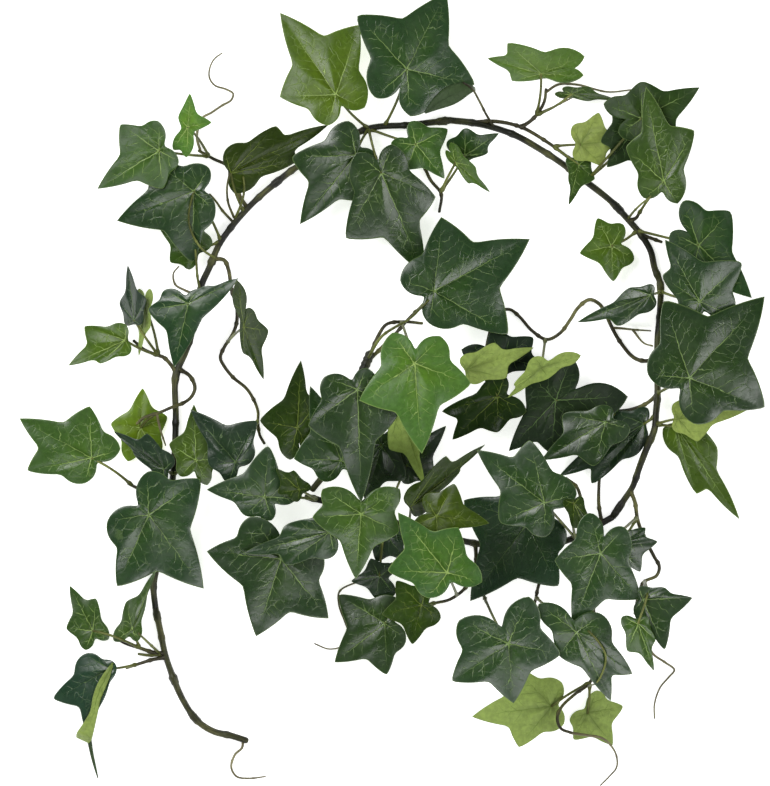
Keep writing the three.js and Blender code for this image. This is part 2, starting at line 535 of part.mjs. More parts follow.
// The junction height at which a blade clears the surface and whatever lies below it.
function settledHeight(leaf, lowest) {
  const { x, y } = leaf.junction;
  const overStalk = heightAt(x, y) + CLEARANCE + STALK_RADIUS + STALK_SINK;
  return spread(blade(leaf, 0)).reduce(
    (z, p) => Math.max(z, heightAt(p.x, p.y) + CLEARANCE - p.z, TIP_FLOOR - p.z),
    Math.max(lowest, overStalk),
  );
}

function nearestOnStem(place) {
  const away = (p) => Math.hypot(p.x - place.x, p.y - place.y);
  return middleLines.reduce((best, p) => (away(p) < away(best) ? p : best));
}

// A stalk runs from its foot on a stem to the junction, over whatever lies in its way.
function stalk(leaf, z, sharedFoot) {
  const steps = FEWEST_STEPS;
  const fine = 8; // places looked at to each side of a bend
  const base = nearestOnStem(leaf.foot);
  const clear = (x, y) => heightAt(x, y) + CLEARANCE + STALK_RADIUS;
  const foot = sharedFoot ?? new THREE.Vector3(base.x, base.y, clear(base.x, base.y));
  const head = new THREE.Vector3(leaf.junction.x, leaf.junction.y, z);
  const level = Math.hypot(head.x - foot.x, head.y - foot.y) / head.distanceTo(foot);
  head.z -= STALK_SINK * level ** 4;
  const along = (t) => foot.clone().lerp(head, t);
  const points = [foot];
  for (let k = 1; k < steps; k += 1) {
    const point = along(k / steps);
    for (let m = -fine; m <= fine; m += 1) {
      const near = along((k + m / fine) / steps);
      point.z = Math.max(point.z, clear(near.x, near.y));
    }
    points.push(point);
  }
  points.push(head);
  return { foot, body: tube(new THREE.CatmullRomCurve3(points), STALK_RADIUS, TWIG_SIDES, steps) };
}

const garland = new THREE.Group();

function addMesh(name, solid, colour, roughness) {
  const material = new THREE.MeshStandardMaterial({ color: colour, roughness, metalness: 0 });
  const mesh = new THREE.Mesh(toGeometry(solid), material);
  mesh.name = name;
  garland.add(mesh);
}

const leafSolids = {};
const feet = {};
const leafColours = {};

function grow(leaf, sheet, z) {
  const host = leaf.host ?? leaf.name;
  const { foot, body } = stalk(leaf, z, feet[host]);
  if (leaf.host && leafSolids[host].length === 2) {
    const knob = new THREE.IcosahedronGeometry(KNOB_RADIUS, 0).translate(...foot.toArray());
    leafSolids[host].push(toSolid(knob));
  }
  feet[host] = foot;
  leafColours[host] ??= COLOURS[leaf.colour];
  leafSolids[host] = [...(leafSolids[host] ?? []), toSolid(sheet), toSolid(body)];
  stamp(sheet);
  stamp(mergedMesh(body));
}

const beneath = BENEATH.map(readLeaf).map((leaf) => {
  const z = settledHeight(leaf, 0);
  return { leaf, z, sheet: blade(leaf, z) };
});
const stems = stemSolids();
for (const [name, solids] of Object.entries(stems)) {
  const solid = unite(solids);
  addMesh(name, solid, STEM_COLOUR, 0.6);
  stamp(toGeometry(solid));
}
for (const { leaf, z, sheet } of beneath) grow(leaf, sheet, z);
for (const leaf of ABOVE.map(readLeaf)) {
  const z = settledHeight(leaf, BED);
  grow(leaf, blade(leaf, z), z);
}
for (const [name, solids] of Object.entries(leafSolids)) {
  addMesh(name, unite(solids), leafColours[name], 0.45);
}

export default garland;
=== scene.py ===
"""An ivy garland lying coiled in a loose ring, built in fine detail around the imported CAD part.

The CAD part's stems, twigs and leaves are laid out again here from the same places. Each
blade's height is read from its CAD node, and each stalk is laid over the pieces made before it.
Folded edges and sprigs too fine for the CAD part come last. Tables and sizes are in
millimetres, in the plan before the ring was centred.
"""

import math
import random

import bpy
import numpy as np
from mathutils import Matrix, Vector, noise
from mathutils.bvhtree import BVHTree


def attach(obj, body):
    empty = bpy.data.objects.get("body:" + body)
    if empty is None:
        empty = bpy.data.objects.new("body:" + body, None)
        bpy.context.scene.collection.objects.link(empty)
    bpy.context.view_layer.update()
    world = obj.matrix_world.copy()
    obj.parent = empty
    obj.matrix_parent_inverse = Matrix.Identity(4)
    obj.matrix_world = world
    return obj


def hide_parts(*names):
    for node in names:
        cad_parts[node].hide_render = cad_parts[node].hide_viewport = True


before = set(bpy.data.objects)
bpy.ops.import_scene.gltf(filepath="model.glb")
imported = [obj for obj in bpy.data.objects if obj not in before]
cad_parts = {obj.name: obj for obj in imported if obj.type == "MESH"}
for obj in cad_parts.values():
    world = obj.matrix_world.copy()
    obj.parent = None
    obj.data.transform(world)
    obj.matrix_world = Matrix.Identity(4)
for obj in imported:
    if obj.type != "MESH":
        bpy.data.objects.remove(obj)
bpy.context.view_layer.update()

MM = 0.001
MIDDLE = (3, 2)  # plan middle of the ring, which is the frame's origin
BODY = "root"

# Sizes that the CAD part has too
LEAF_SCALE = 1
BLADE = 0.6
STEM_RADIUS = 1.9
BUTT_RADIUS = 2.9
TWIG_RADIUS = 1.05
TENDRIL_RADIUS = 0.6
COLLAR_LENGTH = 5
RAISE = 0.6  # lifts the stem routes so that the collars touch the surface
DROOP = 0.08  # sag of a blade's rim, as a share of its reach
BAYS = [0.76, 0.84, 0.42, 0.84, 0.76]  # how far out the bays between the lobes lie
SINUS = 2  # the bay that the stalk leaves through, which has straight sides

# Stems: CAD node, then the route of its middle line as [x, y, z]
STEMS = {
    "stem_tail": [
        [-77, -192, 2], [-85, -189.5, 2], [-95, -187, 2], [-104, -181, 2], [-111.5, -170, 2],
        [-117, -157.5, 2], [-121.5, -144, 2], [-124, -132, 2], [-126.6, -119.5, 2],
    ],
    "stem_west": [
        [-127, -118.4, 2], [-128, -108, 2], [-126, -95, 2], [-121, -70, 2], [-117, -45, 2.2],
        [-115.5, -15, 2.4], [-115.5, 9.5, 2.6], [-110, 23, 2.6], [-107, 32, 2.6], [-104, 50, 2.6],
        [-101, 61, 2.4], [-97.3, 69, 2.2], [-93.7, 78, 2], [-92.2, 81.3, 2],
    ],
    "stem_crown": [
        [-91.6, 82.4, 2], [-89, 86.5, 2], [-82, 95.5, 2.2], [-71, 107, 2.4], [-58, 118, 2.6],
        [-50, 124, 2.8], [-35, 133, 3], [-9, 146, 3], [12.6, 148, 2.6], [36, 150.7, 2],
    ],
    "stem_east": [
        [37.2, 150.7, 2], [49.5, 149.3, 2], [60.5, 146.6, 2.2], [72, 142.5, 2.4], [84, 135.8, 2.4],
        [96.6, 127.6, 2.4], [111, 116.8, 2.4], [125, 105.7, 2.2], [135, 95, 2], [141.3, 87.6, 2],
        [146.7, 78.6, 2], [149, 69, 2], [152, 61, 2], [152.4, 54, 2],
    ],
    "stem_south_east": [
        [152.4, 52.8, 2], [152, 44, 2.2], [150.7, 30, 2.8], [150.5, 8, 5], [150.3, -2, 8],
        [149.4, -11, 10.5], [148.5, -20, 11], [144, -31, 10.5], [140.3, -41, 7], [136.7, -51.6, 5],
        [132, -59, 3.2], [126, -68, 2],
    ],
    "stem_south": [
        [125.2, -69, 2], [105, -80, 2], [80, -86, 2.2], [50, -83, 2.4], [25, -77, 2.6],
        [0, -70, 2.6], [-25, -62, 2.2], [-43, -57.5, 2],
    ],
    "stem_centre": [
        [-40, -53, 2], [-30, -40, 2.4], [-20, -20, 3], [-15, 5, 3.4], [-8, 22, 3.4],
    ],
}

# Twigs, tendrils and thicker stretches: the node they grow on, radius, route
TWIGS = [
    ["stem_centre", BUTT_RADIUS, [[-17, -6, 3.2], [-15, 5, 3.6], [-11, 15, 3.8], [-8, 22, 3.6]]],
    ["stem_centre", TWIG_RADIUS, [
        [-9, 19, 3.8], [-3, 33, 4], [1, 38, 4], [9, 39.4, 3], [20.7, 38.5, 2],
    ]],
    ["stem_centre", TWIG_RADIUS, [[-10, 17, 3.8], [6, 33, 4], [13, 41, 3], [17, 45, 2]]],
    ["stem_tail", TENDRIL_RADIUS, [
        [-78.5, -191.6, 2], [-79, -196, 1.6], [-83, -200, 1], [-85, -207, 1], [-82, -212, 1],
        [-75, -213, 1], [-66, -212, 1],
    ]],
    ["stem_tail", TWIG_RADIUS, [
        [-121.5, -144, 2], [-129, -143, 3], [-135, -141, 3.4], [-143, -138.5, 3], [-148, -136, 2.4],
    ]],
    ["stem_tail", TWIG_RADIUS, [
        [-121, -146, 2], [-129, -147.5, 2.6], [-137, -150, 2], [-143, -152, 2],
    ]],
    ["stem_west", TWIG_RADIUS, [
        [-115.5, 12, 2.4], [-122, 19.5, 2.6], [-126, 21, 3], [-133, 24, 2.6], [-139, 29, 2],
    ]],
    ["stem_west", TWIG_RADIUS, [
        [-113.5, 13, 2.6], [-108, 9.6, 3], [-105, 3, 3.6], [-107, -2.2, 4.4], [-111.5, -5.6, 6],
        [-117, -7.6, 7.5], [-125, -11, 8], [-133, -13.6, 7.5], [-137, -17, 7],
    ]],
    ["stem_west", TENDRIL_RADIUS, [[-126, -11.4, 8], [-124, -20, 8], [-121, -29, 7]]],
    ["stem_west", TWIG_RADIUS, [[-119, -60, 2], [-124, -57, 2.4], [-134, -53.8, 2.4], [-142, -50, 2]]],
    ["stem_west", TWIG_RADIUS, [
        [-95.5, 74, 2], [-89, 73.5, 2], [-86.5, 68, 2], [-85.5, 62, 2], [-84.5, 56, 2], [-82, 48, 2],
        [-82, 39, 2], [-84, 33, 2], [-89, 25, 2], [-91, 19.5, 2], [-89, 15, 2], [-84, 8.7, 2],
        [-76.5, 2.4, 2], [-72, -5, 2], [-70.2, -10.5, 2], [-70.2, -15.5, 2], [-69.3, -23, 2],
        [-66.6, -28, 2],
    ]],
    ["stem_west", TENDRIL_RADIUS, [
        [-104, 54, 2.6], [-111, 57, 2], [-116, 60, 1], [-117, 66, 1], [-114, 70, 1],
    ]],
    ["stem_crown", TWIG_RADIUS, [
        [-76, 102, 2.2], [-81, 110, 2], [-85.5, 119, 2], [-86.5, 125, 2], [-95, 129.5, 2],
        [-103, 134, 2],
    ]],
    ["stem_crown", TENDRIL_RADIUS, [
        [-102, 133.6, 2], [-104, 142, 1.4], [-101, 152, 1], [-96, 155, 1], [-90, 159, 1],
        [-85, 162, 1], [-84, 165.5, 1], [-88, 168, 1], [-94, 170, 1], [-97, 174, 1], [-97, 179, 1],
        [-94.5, 184.5, 1], [-90, 188, 1],
    ]],
    ["stem_crown", TWIG_RADIUS, [
        [12.6, 148, 2.4], [20, 130, 2], [25, 118, 2], [31, 110, 2], [30, 100, 2],
    ]],
    ["stem_east", TWIG_RADIUS, [
        [47, 149.6, 2], [62, 150, 3], [75, 147, 3.2], [86, 141, 3.4], [97.5, 133, 3.2],
        [106, 126, 3], [112, 118, 2.4],
    ]],
    ["stem_east", TWIG_RADIUS, [
        [75, 146.8, 3.2], [80, 150, 3], [84, 154, 3], [88, 161, 3], [89, 168, 3],
    ]],
    ["stem_east", TENDRIL_RADIUS, [[84, 154, 3], [95, 159, 2.4], [104, 163.5, 2]]],
    ["stem_east", TENDRIL_RADIUS, [
        [88.7, 166, 3], [95.7, 170.5, 1.4], [106, 170.5, 1], [123, 166.5, 1], [136, 167.6, 1],
    ]],
    ["stem_east", TWIG_RADIUS, [[135, 95, 2], [139, 97, 2.4], [141, 101, 2.4]]],
    ["stem_east", TWIG_RADIUS, [[141.3, 87.6, 2], [147, 85.6, 2.4], [153, 83.4, 2.4]]],
    ["stem_south_east", TWIG_RADIUS, [
        [150.6, 19.5, 3.6], [144, 17.7, 3], [137.6, 19.5, 2.4], [130.4, 27.6, 2], [126, 35, 2],
        [121.4, 44.8, 2], [118.3, 49.3, 2], [113, 51.6, 2], [106.6, 47, 2], [102.5, 40.7, 2],
        [96.6, 33, 2], [89.4, 29.6, 2], [81.3, 34.4, 2], [74, 42.5, 2], [68.6, 46.2, 2],
        [62, 44, 2], [57, 30, 2], [54, 8, 2],
    ]],
    ["stem_south_east", TENDRIL_RADIUS, [
        [125.5, 36, 2], [130, 35.8, 1.8], [137.6, 35, 1.6], [147, 34.4, 1.6],
    ]],
    ["stem_south_east", TENDRIL_RADIUS, [[137, 34.9, 1.6], [143, 27.6, 2], [148, 26, 2]]],
    ["stem_south_east", TWIG_RADIUS, [[150.3, -1, 7], [144, -6, 5], [136, -9, 3.4], [128, -10, 2]]],
    ["stem_south_east", TWIG_RADIUS, [
        [135.5, -54, 4.4], [138, -60, 3.4], [139.5, -69.6, 2.6], [142, -77, 2.4], [148.5, -90, 2.4],
        [151.6, -96, 2.4], [150, -101, 2.4], [143, -104.5, 2.4], [140, -112, 2], [138, -122, 2],
    ]],
    ["stem_south_east", TENDRIL_RADIUS, [
        [138, -121, 2], [144, -135, 1.4], [148, -144, 1], [155, -149, 1], [160, -153, 1],
        [157, -157, 1], [152, -163, 1], [149, -172, 1], [149, -180, 1],
    ]],
    ["stem_south", TWIG_RADIUS, [[80, -86, 2.2], [86, -98, 2], [84, -110, 2], [82.6, -117, 2]]],
    ["stem_south", TWIG_RADIUS, [
        [50, -83, 2.4], [50, -96, 2], [45, -107, 2], [36, -114, 2], [28, -116, 2],
    ]],
    ["stem_south", TWIG_RADIUS, [[48, -100, 2], [53, -108, 2], [56, -116, 2]]],
    ["stem_south", TWIG_RADIUS, [
        [112, -76, 2], [109.6, -69.6, 2], [108.7, -61, 2], [106, -52, 2], [100, -47, 2],
    ]],
    ["stem_south", TWIG_RADIUS, [[120, -72.5, 2], [118.2, -62, 2], [118.2, -52, 2], [118.7, -45, 2]]],
    ["stem_south", TWIG_RADIUS, [
        [112, -76, 2], [112, -100, 2], [116, -125, 2], [119, -145, 2.4], [113, -160, 4],
        [105, -166, 8], [97.5, -173, 9], [95, -179, 9.5], [97, -185, 9.5], [103, -187.5, 9.5],
    ]],
    ["stem_south", TENDRIL_RADIUS, [
        [102, -187.4, 9.5], [113, -189, 9.5], [120, -190.5, 8.5], [125, -195, 6], [128, -201, 2.5],
        [128, -207, 1], [124, -212, 1], [119, -217, 1],
    ]],
]

# Collars: the stem they sit on and the place along its route, from 0 to 1
COLLARS = [
    ["stem_tail", 0.32], ["stem_tail", 0.58], ["stem_tail", 0.96], ["stem_west", 0.63],
    ["stem_west", 0.96], ["stem_crown", 0.31], ["stem_crown", 0.97], ["stem_east", 0.45],
    ["stem_east", 0.66], ["stem_east", 0.97], ["stem_south_east", 0.95],
]

# Sprigs too fine for the CAD part: the node they grow on, skin, radius and route. A route
# without heights lies over whatever it crosses.
SPRIGS = [
    ["stem_crown", "stalk", 0.75, [[-83, 96], [-79.5, 104], [-77.5, 112], [-78, 119]]],
    ["stem_crown", "twig", 0.7, [[-83.5, 97], [-86.5, 105], [-87, 113], [-85.5, 121]]],
    ["stem_crown", "twig", 0.75, [[-84.5, 95], [-90, 101], [-93.5, 106], [-97, 110]]],
    ["stem_west", "stalk", 0.75, [[-102, 56], [-103.5, 64], [-104, 72], [-104.5, 79]]],
    ["stem_west", "stalk", 0.7, [[-93, 74], [-101, 79.5], [-107, 90], [-108, 98], [-105.5, 110]]],
    ["stem_east", "stalk", 0.7, [[134, 96], [137.5, 100.5], [141, 104], [146, 108]]],
    ["stem_east", "twig", 0.7, [[61, 146], [56, 153.5], [52, 161], [48, 167.5], [43, 171]]],
    ["stem_centre", "stalk", 0.85, [[-10, 18], [-2, 31], [6, 36.5], [13, 40.5], [19, 46], [24, 51]]],
    ["stem_south", "stalk", 0.6, [[107, -126], [115, -134], [120, -143], [117.5, -154], [112, -162]]],
    ["stem_tail", "stalk", 0.95, [[-124, -144.6], [-130, -145], [-136.4, -144.3]]],
    ["stem_tail", "stalk", 0.8, [[-124.4, -144], [-129.5, -138.5], [-135.5, -132]]],
    ["stem_south", "tendril", 0.55, [
        [4, -94, 1.6], [-12, -103, 1.6], [-25, -109.5, 1.6], [-25.5, -117, 1.4], [-22, -127, 1.2],
        [-20, -134, 1], [-24, -140, 1], [-31, -141.5, 1], [-39, -138.5, 1],
    ]],
]

# Leaves that are seen folded: the tips and bays that are left in sight
FOLDED = {
    "tail_dark": [
        [-164, -190, -156, -171, -147.5, -149, -166, -143.5, -184, -169],
        [0.76, 0.84, 0.8, 0.84, 0.76],
    ],
    "west_top_small": [
        [-106.5, 164, -113.5, 151, -117, 134, -109, 129.5, -94.5, 148],
        [0.99, 0.42, 0.8, 0.38, 0.65],
    ],
}

# A folded leaf's drawn-out tip and two folded-over edges, too thin for the CAD part: the
# leaf, whose node has its name, the colour, and the middle line as [x, y, half width]
FOLDS = [
    ["tail_dark", "deep", [
        [-164, -188, 1.4], [-162.2, -199, 1.0], [-160.3, -207, 0.7], [-158.7, -213, 0.3],
    ]],
    ["tail_dark", "pale", [
        [-149.8, -148.5, 0.5], [-153.2, -155.4, 2.0], [-156.4, -161.8, 2.5], [-158.8, -168.1, 2.3],
        [-160.5, -176.1, 2.2], [-163.6, -184, 3.5], [-166.3, -190, 4.5], [-167.2, -192, 3.8],
    ]],
    ["crown_right", "deep", [
        [22, 154, 0.5], [28, 158.7, 3.2], [35.5, 163.4, 5.2], [43, 166.8, 4.2], [50, 168, 1.0],
    ]],
]

# Leaves. Each row: name, colour, junction, the tips of the middle, left, left base, right
# base and right lobes, the way that it rises [azimuth, degrees], the foot of its stalk,
# and, where it shares that foot, the leaf that it grows with. The tips run
# counterclockwise when the upper face is up, and clockwise when the underside is.
# Blades that lie beneath a stem come first.
BENEATH = [
    ["west_lime", "light", [-135, -19], [-134, 3, -152, -17, -142, -38, -125, -35, -120, -13],
        [180, 2], [-127, -12]],
    ["east_grey", "deep", [143, -17], [96, -46, 114, -51, 143, -29, 145, -8, 126, -10],
        [30, 3], [149, -12]],
    ["south_pale", "pale", [92, -173], [48, -179, 71, -151, 98, -160, 99, -183, 74, -196],
        [120, 3], [113, -160]],
    ["south_pale_small", "pale", [112, -177], [126, -195, 104, -192, 102, -180, 117, -164, 132, -173],
        [60, 3], [113, -160], "south_pale"],
]

ABOVE = [
    # north-west
    ["west_top_low", "mid", [-105, 79], [-125, 92, -119, 72, -108, 68, -95, 83, -104, 99],
        [110, 20], [-92, 85]],
    ["west_top_big", "dark", [-105, 111], [-148, 95, -106, 71, -93, 100, -96, 124, -128, 129],
        [70, 12], [-92, 85], "west_top_low"],
    ["west_top_outer", "mid", [-124, 133], [-158, 112, -122, 112, -113, 127, -124, 149, -145, 147],
        [120, 25], [-97, 131]],
    ["west_top_small", "light", [-108, 146], [-106, 165, -119, 150, -117, 137, -108, 130, -94, 148],
        [60, 40], [-97, 131], "west_top_outer"],
    ["west_top_inner", "olive", [-85, 121], [-31, 148, -60, 147, -88, 133, -83, 110, -48, 128],
        [120, 40], [-78, 100]],
    # north
    ["crown_dark_left", "dark", [-16, 131], [-47, 93, -10, 106, -4, 130, -20, 150, -52, 130],
        [60, 8], [-9, 146]],
    ["crown_grey", "mid", [17, 137], [33, 118, 35, 146, 14, 150, 3, 138, 12, 123],
        [200, 15], [-9, 146], "crown_dark_left"],
    ["crown_mid", "dark", [44, 131], [63, 143, 44, 147, 33, 138, 39, 126, 57, 132],
        [60, 30], [30, 111]],
    ["crown_blade", "light", [39, 127], [58, 110, 50, 124, 36, 138, 33, 134, 46, 115],
        [30, 55], [30, 111], "crown_mid"],
    ["crown_left", "light", [-27, 164], [-58, 210, -58, 163, -31, 147, -11, 157, -14, 203],
        [300, 10], [-9, 146]],
    ["crown_right", "dark", [12, 178], [34, 221, -16, 208, -6, 162, 14, 152, 50, 170],
        [200, 10], [0, 146]],
    ["crown_dark_big", "dark", [-2, 121], [22, 65, 28, 108, 4, 137, -16, 132, -22, 85],
        [100, 10], [-9, 146]],
    # north-east
    ["upper_light", "light", [86, 176], [56, 184, 70, 172, 110, 175, 110, 185, 67, 192],
        [90, 55], [84, 153]],
    ["upper_blade", "mid", [103, 165], [128, 162, 113, 169, 97, 168, 93, 165, 113, 161],
        [90, 50], [84, 153], "upper_light"],
    ["ne_spike", "mid", [107, 126], [101, 103, 116, 118, 113, 130, 100, 130, 101, 116],
        [250, 30], [93, 137]],
    ["ne_pale", "pale", [108, 137], [133, 140, 120, 125, 104, 129, 103, 147, 118, 155],
        [0, 12], [93, 137], "ne_spike"],
    ["ne_back", "deep", [140, 149], [122, 124, 145, 121, 156, 140, 128, 160, 118, 138],
        [200, 8], [112, 118]],
    ["ne_dark", "dark", [141, 151], [173, 168, 141, 172, 120, 159, 128, 142, 158, 133],
        [320, 12], [112, 118], "ne_back"],
    ["ne_front", "mid", [153, 116], [143, 168, 132, 135, 142, 107, 161, 104, 170, 144],
        [90, 10], [140, 99]],
    # east
    ["east_small", "light", [125, 81], [107, 77, 126, 61, 138, 74, 132, 93, 117, 97],
        [200, 12], [140, 90]],
    ["east_top", "dark", [172, 81], [201, 52, 190, 100, 163, 106, 156, 88, 166, 54],
        [330, 10], [140, 90], "east_small"],
    ["east_inner", "dark", [146, 54], [106, 39, 128, 36, 149, 48, 148, 60, 134, 58],
        [0, 20], [152, 56]],
    ["east_mid", "dark", [172, 50], [153, 84, 151, 64, 166, 38, 190, 42, 196, 72],
        [150, 8], [152, 56], "east_inner"],
    ["east_tail", "mid", [160, -18], [196, -70, 183, -30, 172, -10, 153, -20, 172, -56],
        [40, 30], [149, -17]],
    ["east_pale", "pale", [161, -14], [200, -9, 172, -27, 158, -20, 158, -6, 185, 0],
        [100, 12], [149, -17], "east_tail"],
    ["east_big", "dark", [166, 8], [208, 53, 152, 51, 143, 10, 168, -17, 208, -8],
        [225, 8], [150, 0]],
    # west
    ["west_curl", "pale", [-132, 47], [-136, 20, -137, 38, -136, 58, -129, 58, -129, 36],
        [0, 55], [-125, 21]],
    ["west_spike", "deep", [-138, 40], [-142, 71, -147, 50, -143, 37, -134, 37, -131, 52],
        [0, 45], [-125, 21], "west_curl"],
    ["west_bright", "light", [-143, 29], [-175, 15, -157, 16, -140, 22, -143, 38, -166, 37],
        [340, 12], [-125, 21], "west_curl"],
    ["west_dark", "dark", [-108, 49], [-116, 14, -80, 63, -102, 57, -121, 57, -131, 46],
        [30, 15], [-108, 30]],
    ["west_star", "mid", [-162, -36], [-202, -14, -198, -43, -166, -50, -146, -31, -163, -7],
        [90, 8], [-140, -51]],
    ["west_dark_small", "deep", [-122, -42], [-150, -21, -139, -34, -121, -50, -115, -37, -131, -22],
        [50, 30], [-117, -44]],
    ["west_round", "mid", [-104, -37], [-105, -6, -119, -28, -113, -46, -98, -51, -90, -36],
        [80, 12], [-117, -44], "west_dark_small"],
    ["west_low_big", "dark", [-130, -67], [-100, -108, -101, -47, -131, -43, -153, -70, -148, -107],
        [90, 8], [-122, -74]],
    ["west_hanging", "olive", [-77, 36], [-66, 7, -63, 34, -74, 47, -81, 62, -78, 22],
        [0, 50], [-87, 28]],
    # the tail's sprig
    ["tail_curl", "mid", [-139, -130], [-126, -97, -143, -115, -150, -137, -136, -137, -131, -113],
        [340, 40], [-136, -141]],
    ["tail_green", "mid", [-161, -131], [-174, -106, -176, -130, -165, -142, -152, -136, -159, -113],
        [60, 8], [-136, -141], "tail_curl"],
    ["tail_dark", "deep", [-151, -152], [-159, -213, -147, -180, -144, -151, -160, -143, -184, -169],
        [10, 20], [-137, -150]],
    # inside the ring, low
    ["inner_wide", "deep", [-82, -38], [-107, -9, -97, -40, -86, -50, -72, -36, -70, -15],
        [45, 10], [-70, -15]],
    ["mid_black", "deep", [94, -4], [68, -32, 92, -34, 134, -2, 103, 20, 78, 12],
        [200, 6], [128, -10]],
    ["centre_back", "deep", [12, -40], [34, -18, 14, -22, 4, -36, 10, -50, 27, -49],
        [200, 8], [0, -70]],
    ["south_dark", "deep", [-1, -76], [12, -93, 14, -79, 2, -65, -12, -73, -5, -94],
        [120, 8], [0, -70], "centre_back"],
    ["south_small", "deep", [-3, -101], [-19, -104, -5, -114, 6, -112, 6, -95, -8, -91],
        [40, 8], [0, -70], "centre_back"],
    ["south_blue", "deep", [78, -72], [47, -115, 96, -107, 100, -76, 78, -50, 43, -59],
        [60, 6], [80, -86]],
    ["mid_shadow", "deep", [64, 20], [88, 14, 82, 31, 58, 34, 42, 24, 56, 5],
        [0, 6], [55, 14]],
    ["mid_olive", "olive", [62, -2], [37, -26, 62, -22, 78, -10, 66, 10, 31, -10],
        [20, 8], [55, 14], "mid_shadow"],
    ["pale_inner", "pale", [45, 13], [82, 25, 67, 8, 47, 5, 41, 19, 60, 28],
        [100, 20], [55, 14], "mid_shadow"],
    ["centre_blue", "deep", [-2, -29], [-11, -61, 12, -48, 8, -20, -9, -14, -20, -38],
        [200, 8], [-17, -10]],
    ["centre_pale", "pale", [8, -8], [22, -51, 2, -31, 0, -5, 16, -4, 21, -31],
        [100, 20], [-17, -10], "centre_blue"],
    ["centre_spike", "olive", [-48, -19], [-46, 18, -69, -15, -52, -37, -41, -33, -37, -6],
        [60, 15], [-32, -42]],
    ["centre_left", "dark", [-24, -37], [-41, 4, -50, -36, -33, -49, -12, -42, -16, -16],
        [100, 8], [-26, -31]],
    ["pale_strip", "pale", [86, 14], [67, -3, 70, 4, 82, 20, 108, 21, 90, 8],
        [120, 40], [89, 30]],
    ["mid_right", "dark", [121, -16], [86, -37, 115, -41, 135, -20, 124, -7, 97, -11],
        [30, 8], [128, -10]],
    # inside the ring, high
    ["inner_grey", "dark", [-66, -57], [-98, -53, -77, -68, -62, -70, -48, -58, -64, -28],
        [100, 8], [-38, -57]],
    ["inner_olive", "olive", [-47, -53], [-60, -41, -59, -55, -48, -60, -40, -52, -50, -42],
        [140, 12], [-38, -57], "inner_grey"],
    ["sw_big", "dark", [-57, -91], [-71, -134, -31, -124, -35, -86, -73, -67, -98, -87],
        [90, 8], [-30, -61]],
    ["sw_long", "dark", [-30, -76], [-78, -88, -55, -95, -27, -89, -26, -62, -55, -72],
        [60, 15], [-12, -66]],
    ["south_mid", "mid", [-13, -66], [-16, -102, 8, -76, 8, -52, -34, -52, -40, -68],
        [90, 10], [2, -71]],
    ["slim_blade", "olive", [14, -62], [55, -28, 33, -34, 10, -57, 17, -68, 42, -42],
        [130, 50], [12, -73]],
    ["olive_mid", "olive", [28, -67], [57, -71, 38, -49, 21, -56, 15, -72, 29, -81],
        [0, 10], [12, -73], "slim_blade"],
    ["centre_front", "dark", [-15, 2], [-13, -60, 8, -11, -10, 14, -33, 9, -42, -18],
        [90, 8], [-18, -12]],
    ["mid_big", "dark", [87, -60], [50, -31, 62, -71, 88, -79, 105, -55, 79, -25],
        [40, 8], [105, -80]],
    ["slim_olive", "olive", [103, -60], [112, -80, 111, -68, 107, -56, 97, -58, 102, -74],
        [0, 45], [105, -80], "mid_big"],
    ["centre_dark", "dark", [27, 56], [80, 85, 31, 97, 8, 62, 24, 38, 68, 32],
        [240, 8], [16, 44]],
    ["centre_light", "light", [16, 16], [20, -33, 47, 5, 30, 31, 4, 33, -14, -4],
        [270, 8], [9, 39]],
    # south
    ["south_star", "dark", [0, -127], [-28, -149, 1, -156, 12, -136, 7, -113, -26, -111],
        [20, 8], [28, -116]],
    ["south_olive", "olive", [20, -117], [-2, -122, 15, -139, 31, -124, 24, -107, 6, -103],
        [200, 10], [28, -116], "south_star"],
    ["sage", "light", [34, -98], [7, -65, 1, -97, 24, -112, 53, -103, 40, -73],
        [60, 8], [40, -111]],
    ["se_side", "dark", [128, -84], [151, -82, 144, -74, 125, -76, 124, -91, 141, -99],
        [180, 15], [139, -69]],
    ["se_big", "dark", [117, -87], [102, -127, 139, -112, 130, -72, 111, -64, 92, -91],
        [80, 8], [139, -69], "se_side"],
    ["se_low", "dark", [104, -130], [123, -168, 135, -153, 118, -120, 83, -114, 94, -143],
        [100, 8], [84, -113]],
    ["se_corner", "dark", [140, -112], [167, -111, 152, -105, 138, -105, 135, -119, 152, -140],
        [20, 12], [144, -104]],
    ["se_green", "mid", [137, -125], [146, -151, 147, -134, 142, -121, 128, -121, 131, -140],
        [200, 25], [144, -104], "se_corner"],
    ["south_big", "dark", [67, -136], [70, -169, 96, -142, 78, -110, 40, -123, 36, -157],
        [90, 8], [55, -113]],
]


def linear(red, green, blue):
    """A screen colour from 0 to 255 as the shader's colour."""
    return tuple((level / 255) ** 2.2 for level in (red, green, blue)) + (1.0,)


# Leaf colours: upper face near the veins and near the rim, veins, underside, its veins
LEAF_COLOURS = {
    "deep": [(36, 56, 31), (31, 50, 32), (98, 124, 74), (60, 78, 48), (44, 62, 34)],
    "dark": [(44, 69, 26), (36, 59, 29), (130, 156, 90), (80, 104, 52), (56, 80, 34)],
    "mid": [(64, 90, 30), (56, 80, 33), (152, 180, 100), (104, 128, 58), (70, 96, 36)],
    "light": [(80, 108, 34), (71, 99, 40), (164, 190, 106), (120, 144, 66), (82, 108, 40)],
    "olive": [(50, 68, 18), (42, 59, 20), (118, 136, 62), (94, 112, 44), (64, 80, 28)],
    "pale": [(104, 132, 48), (93, 121, 46), (164, 184, 104), (132, 152, 76), (90, 114, 42)],
}
# How strongly each colour's upper face shines
GLOSS = {"deep": 0.6, "dark": 0.62, "mid": 0.42, "light": 0.28, "olive": 0.25, "pale": 0.25}
FLOOR_COLOUR = (250, 250, 250)

